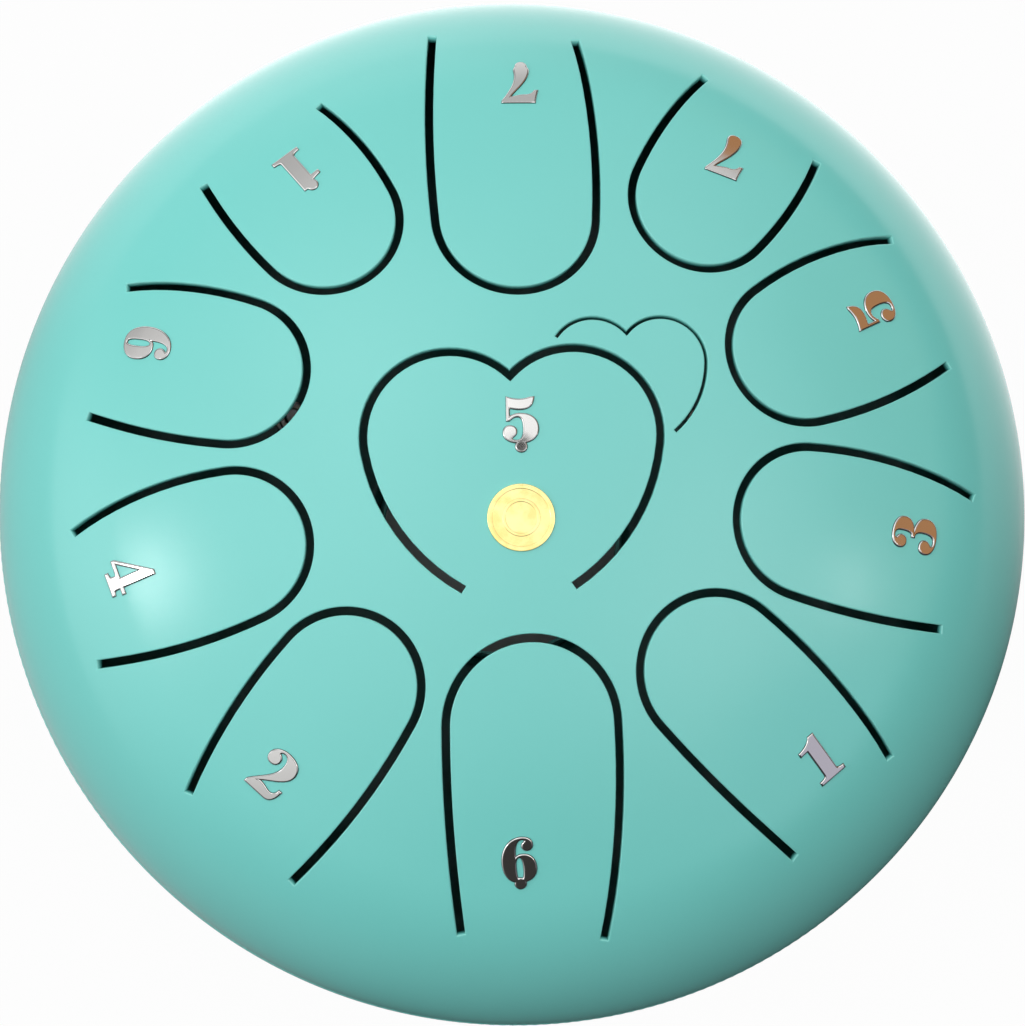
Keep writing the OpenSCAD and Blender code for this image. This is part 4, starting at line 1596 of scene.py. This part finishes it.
@dataclass(frozen=True)
class Nickel:
    """Bright nickel plating, with painted contact shade at its foot and a painted shade line round
    its face.
    """

    base: str = "D9D8D6"
    # Painted contact shade: the lowest part of the rim is dark where it meets the paint.
    foot: str = "363E3E"
    contact_shade_rise: Point = (0.1 * MM, 0.35 * MM)
    foot_haze: float = 0.3
    # Painted shade line between the flat face and the rounded rim.
    line: str = "5C5D62"
    shade_line_from: float = 0.366 * MM
    shade_line_to: float = 0.398 * MM
    shade_line_share: float = 0.75
    gloss: float = 0.04
    haze: float = 0.05
    haze_size: float = 3 * MM
    wave: float = 2.2 * MM
    wave_height: float = 0.004 * MM

    def material(self) -> bpy.types.Material:
        """Builds the plating, which reads how high each point lies above the paint."""
        recipe = Recipe(bpy.data.materials.new("nickel"))
        lift = recipe.score("lift")
        # Painted contact shade on the lowest part of the rim.
        low = 1 - lift.rise(*self.contact_shade_rise)
        # A thin painted shade line where the rim meets the flat face.
        soft = (self.shade_line_to - self.shade_line_from) / 3
        over = lift.rise(self.shade_line_to - soft, self.shade_line_to)
        line = lift.rise(self.shade_line_from, self.shade_line_from + soft) * (1 - over)
        shade_lined = recipe.mixed(self.shade_line_share * line, colour(self.base), colour(self.line))
        haze = self.haze * recipe.noise(self.haze_size, detail=4)
        return recipe.surface({
            "Base Color": recipe.mixed(low, shade_lined, colour(self.foot)),
            "Metallic": 1.0,
            "Roughness": self.gloss + haze + self.foot_haze * low,
            "Normal": recipe.bump(recipe.noise(self.wave, detail=1), self.wave_height),
        })


@dataclass(frozen=True)
class Gold:
    """Bright gold plating with a fine stamped grain."""

    base: str = "F8E8A2"
    deep: str = "E6C772"
    deep_share: float = 0.6
    cloud_size: float = 4 * MM
    cloud_rise: Point = (0.35, 0.7)
    gloss: float = 0.12
    haze: float = 0.08
    grain: float = 0.35 * MM
    grain_height: float = 0.006 * MM

    def material(self) -> bpy.types.Material:
        """Builds the plating."""
        recipe = Recipe(bpy.data.materials.new("gold"))
        grain = recipe.noise(self.grain, detail=3)
        cloud = recipe.noise(self.cloud_size, detail=3).rise(*self.cloud_rise) * self.deep_share
        return recipe.surface({
            "Base Color": recipe.mixed(cloud, colour(self.base), colour(self.deep)),
            "Metallic": 1.0,
            "Roughness": self.gloss + self.haze * grain,
            "Normal": recipe.bump(grain, self.grain_height),
        })


@dataclass(frozen=True)
class Rubber:
    """Matt black rubber, moulded with a fine grain and a little dusty."""

    base: str = "1D1D1F"
    dust: str = "39383A"
    dust_size: float = 7 * MM
    dust_rise: Point = (0.45, 0.8)
    dust_haze: float = 0.2
    gloss: float = 0.62
    grain: float = 0.3 * MM
    grain_height: float = 0.012 * MM

    def material(self) -> bpy.types.Material:
        """Builds the rubber."""
        recipe = Recipe(bpy.data.materials.new("rubber"))
        dusty = recipe.noise(self.dust_size, detail=5).rise(*self.dust_rise)
        return recipe.surface({
            "Base Color": recipe.mixed(dusty, colour(self.base), colour(self.dust)),
            "Roughness": self.gloss + self.dust_haze * dusty,
            "Normal": recipe.bump(recipe.noise(self.grain, detail=2), self.grain_height),
        })


@dataclass(frozen=True)
class Zinc:
    """Bright zinc plating with faint blue and yellow clouds."""

    base: str = "A8ABB2"
    tarnish: str = "A9A48F"
    cloud_size: float = 2.5 * MM
    cloud_rise: Point = (0.3, 0.75)
    gloss: float = 0.24
    haze: float = 0.16
    haze_size: float = 0.8 * MM

    def material(self) -> bpy.types.Material:
        """Builds the plating."""
        recipe = Recipe(bpy.data.materials.new("zinc"))
        cloud = recipe.noise(self.cloud_size, detail=3).rise(*self.cloud_rise)
        return recipe.surface({
            "Base Color": recipe.mixed(cloud, colour(self.base), colour(self.tarnish)),
            "Metallic": 1.0,
            "Roughness": self.gloss + self.haze * recipe.noise(self.haze_size, detail=3),
        })


def towards(bearing: float, elevation: float) -> Vector:
    """Direction at a bearing and an elevation in degrees."""
    flat = math.cos(math.radians(elevation)) * ray(bearing)
    return Vector((*flat, math.sin(math.radians(elevation))))


@dataclass(frozen=True)
class Glow:
    """A soft round patch of the surroundings; its place and its spread are in degrees."""

    bearing: float
    elevation: float
    spread: float
    strength: float = 1

    def seen(self, way: Wire) -> Wire:
        """Its strength in each direction; it is halved at its spread in degrees."""
        sharp = math.log(0.5) / (2 * math.log(math.cos(math.radians(self.spread / 2))))
        return (0.5 + 0.5 * way.dot(towards(self.bearing, self.elevation))) ** sharp * self.strength


@dataclass(frozen=True)
class Patch:
    """Something of one colour that the bright metal mirrors, made of soft round patches."""

    tint: str
    parts: tuple[Glow, ...]
    edge: Point = (0.4, 0.6)

    def seen(self, way: Wire) -> Wire:
        """Its share of the colour in each direction."""
        return reduce(Wire.most, (part.seen(way) for part in self.parts)).rise(*self.edge)


@dataclass
class Studio:
    """The camera, the floor and the surroundings, which light the drum."""

    target: Vector = Vector((-0.59 * MM, -1.09 * MM, 72 * MM))
    distance: float = 1200 * MM
    tilt: float = 8.99
    turn: float = -27.6
    lens: float = 169.99
    sensor: float = 36
    near: float = 10 * MM
    glows: tuple[Glow, ...] = (
        Glow(-180, 5, 24, 1.75), Glow(100, 5, 24, 1.35), Glow(-180, 35, 14, 1.27),
        Glow(-160, 35, 24, 0.44), Glow(60, 47, 14, 1.06), Glow(-20, 60, 14, 1.75),
        Glow(20, 60, 14, 1.23), Glow(120, 60, 14, 1.27), Glow(-180, 75, 24, 1.6),
    )
    patches: tuple[Patch, ...] = (
        Patch("C7C3D3", (Glow(-33, 43, 12),)),
        Patch("BA8350", (Glow(2, 38, 11), Glow(33, 33, 13), Glow(60, 24, 9.5))),
        Patch("1C1613", (Glow(-85, 52, 9), Glow(76, 78.5, 1.6))),
    )
    lamps: tuple[Glow, ...] = (
        Glow(-178, 48.5, 2.3, 15), Glow(-173.5, 48.5, 2.3, 18), Glow(-4, 46.5, 2.5, 8),
    )
    room_sheen: float = 0.04
    floor_w: float = 6
    floor_tone: float = 0.45
    floor_rough: float = 0.9
    floor_glow: float = 0.97
    shade_r: float = 112 * MM
    shade_share: float = 0.8
    sheens: tuple[tuple[float, float], ...] = ((72, 1.65), (172, 0.45))
    sheen_full: float = 0.95
    least_sheen: float = 0.05

    def camera(self) -> None:
        """Sets up the camera at the photograph's viewing angle."""
        tilt, turn = math.radians(self.tilt), math.radians(self.turn)
        flat = math.sin(tilt)
        back = Vector((flat * math.sin(turn), -flat * math.cos(turn), math.cos(tilt)))
        right = Vector((0, 1, 0)).cross(back).normalized()
        up = back.cross(right)
        data = bpy.data.cameras.new("camera")
        data.sensor_fit = "VERTICAL"
        data.sensor_height = self.sensor
        data.lens = self.lens
        data.clip_start = self.near
        camera = bpy.data.objects.new("camera", data)
        bpy.context.scene.collection.objects.link(camera)
        turned = Matrix((right, up, back)).transposed().to_4x4()
        camera.matrix_world = Matrix.Translation(self.target + self.distance * back) @ turned
        bpy.context.scene.camera = camera

    def floor(self) -> None:
        """Adds the plain pale floor, which shows white except in the drum's own shade."""
        floor = Workpiece.added("floor", bpy.ops.mesh.primitive_plane_add, size=self.floor_w)
        recipe = Recipe(bpy.data.materials.new("floor"))
        plain = {"Base Color": (*[self.floor_tone] * 3, 1), "Roughness": self.floor_rough}
        shader = recipe.node("ShaderNodeBsdfPrincipled", {}, plain)[0]
        spot = recipe.node("ShaderNodeSeparateXYZ", {}, {0: recipe.place()})
        reach = (spot[0] ** 2 + spot[1] ** 2) ** 0.5
        sheen: Any = self.least_sheen
        for bearing, strength in self.sheens:
            way = ray(bearing)
            facing = (spot[0] * way.x + spot[1] * way.y) / reach
            sheen = sheen + strength * facing.rise(0, self.sheen_full)
        mirrored_floor = recipe.seen("Glossy", "Transmission")
        bright = recipe.grey(recipe.seen("Camera") + mirrored_floor * sheen)
        glow = recipe.node("ShaderNodeEmission", {}, {"Color": bright, "Strength": 1.0})[0]
        open_air = reach.rise(self.shade_share * self.shade_r, self.shade_r)
        share = (self.floor_glow * recipe.seen("Camera") + mirrored_floor) * open_air
        mix = recipe.node("ShaderNodeMixShader", {}, {0: share, 1: shader, 2: glow})[0]
        recipe.node("ShaderNodeOutputMaterial", {}, {"Surface": mix})
        floor.obj.data.materials.append(recipe.owner)

    def world(self) -> None:
        """Lights the drum from soft patches all round, with a white background."""
        recipe = Recipe(bpy.data.worlds.new("studio"))
        way = recipe.output("ShaderNodeTexCoord", "Generated")
        room = recipe.grey(sum(glow.seen(way) for glow in self.glows))
        for patch in self.patches:
            room = recipe.mixed(patch.seen(way), room, colour(patch.tint))
        for lamp in self.lamps:
            bright = (*[lamp.strength] * 3, 1)
            room = recipe.mixed(lamp.seen(way) / lamp.strength, room, bright)
        white = recipe.seen("Camera") + self.room_sheen * recipe.seen("Glossy", "Transmission")
        shown = recipe.mixed(white, room, (1, 1, 1, 1))
        back = recipe.node("ShaderNodeBackground", {}, {"Color": shown})[0]
        recipe.node("ShaderNodeOutputWorld", {}, {"Surface": back})
        bpy.context.scene.world = recipe.owner

    def build(self) -> None:
        """Sets the stage."""
        self.camera()
        self.floor()
        self.world()
        bpy.context.scene.view_settings.view_transform = "Standard"


def main() -> None:
    """Builds the drum and its stage."""
    logging.basicConfig(level=logging.INFO, format="%(message)s")
    Studio().build()
    coat = PowderCoat().material()
    crown = Crown()
    crown.build(coat)
    Numerals(crown).build(Nickel().material())
    Badge(crown).build(Gold().material())
    LowerShell().build(coat)
    SeamWeld().build(coat)
    Feet().build(Rubber().material(), Zinc().material())


if __name__ == "__main__":
    main()
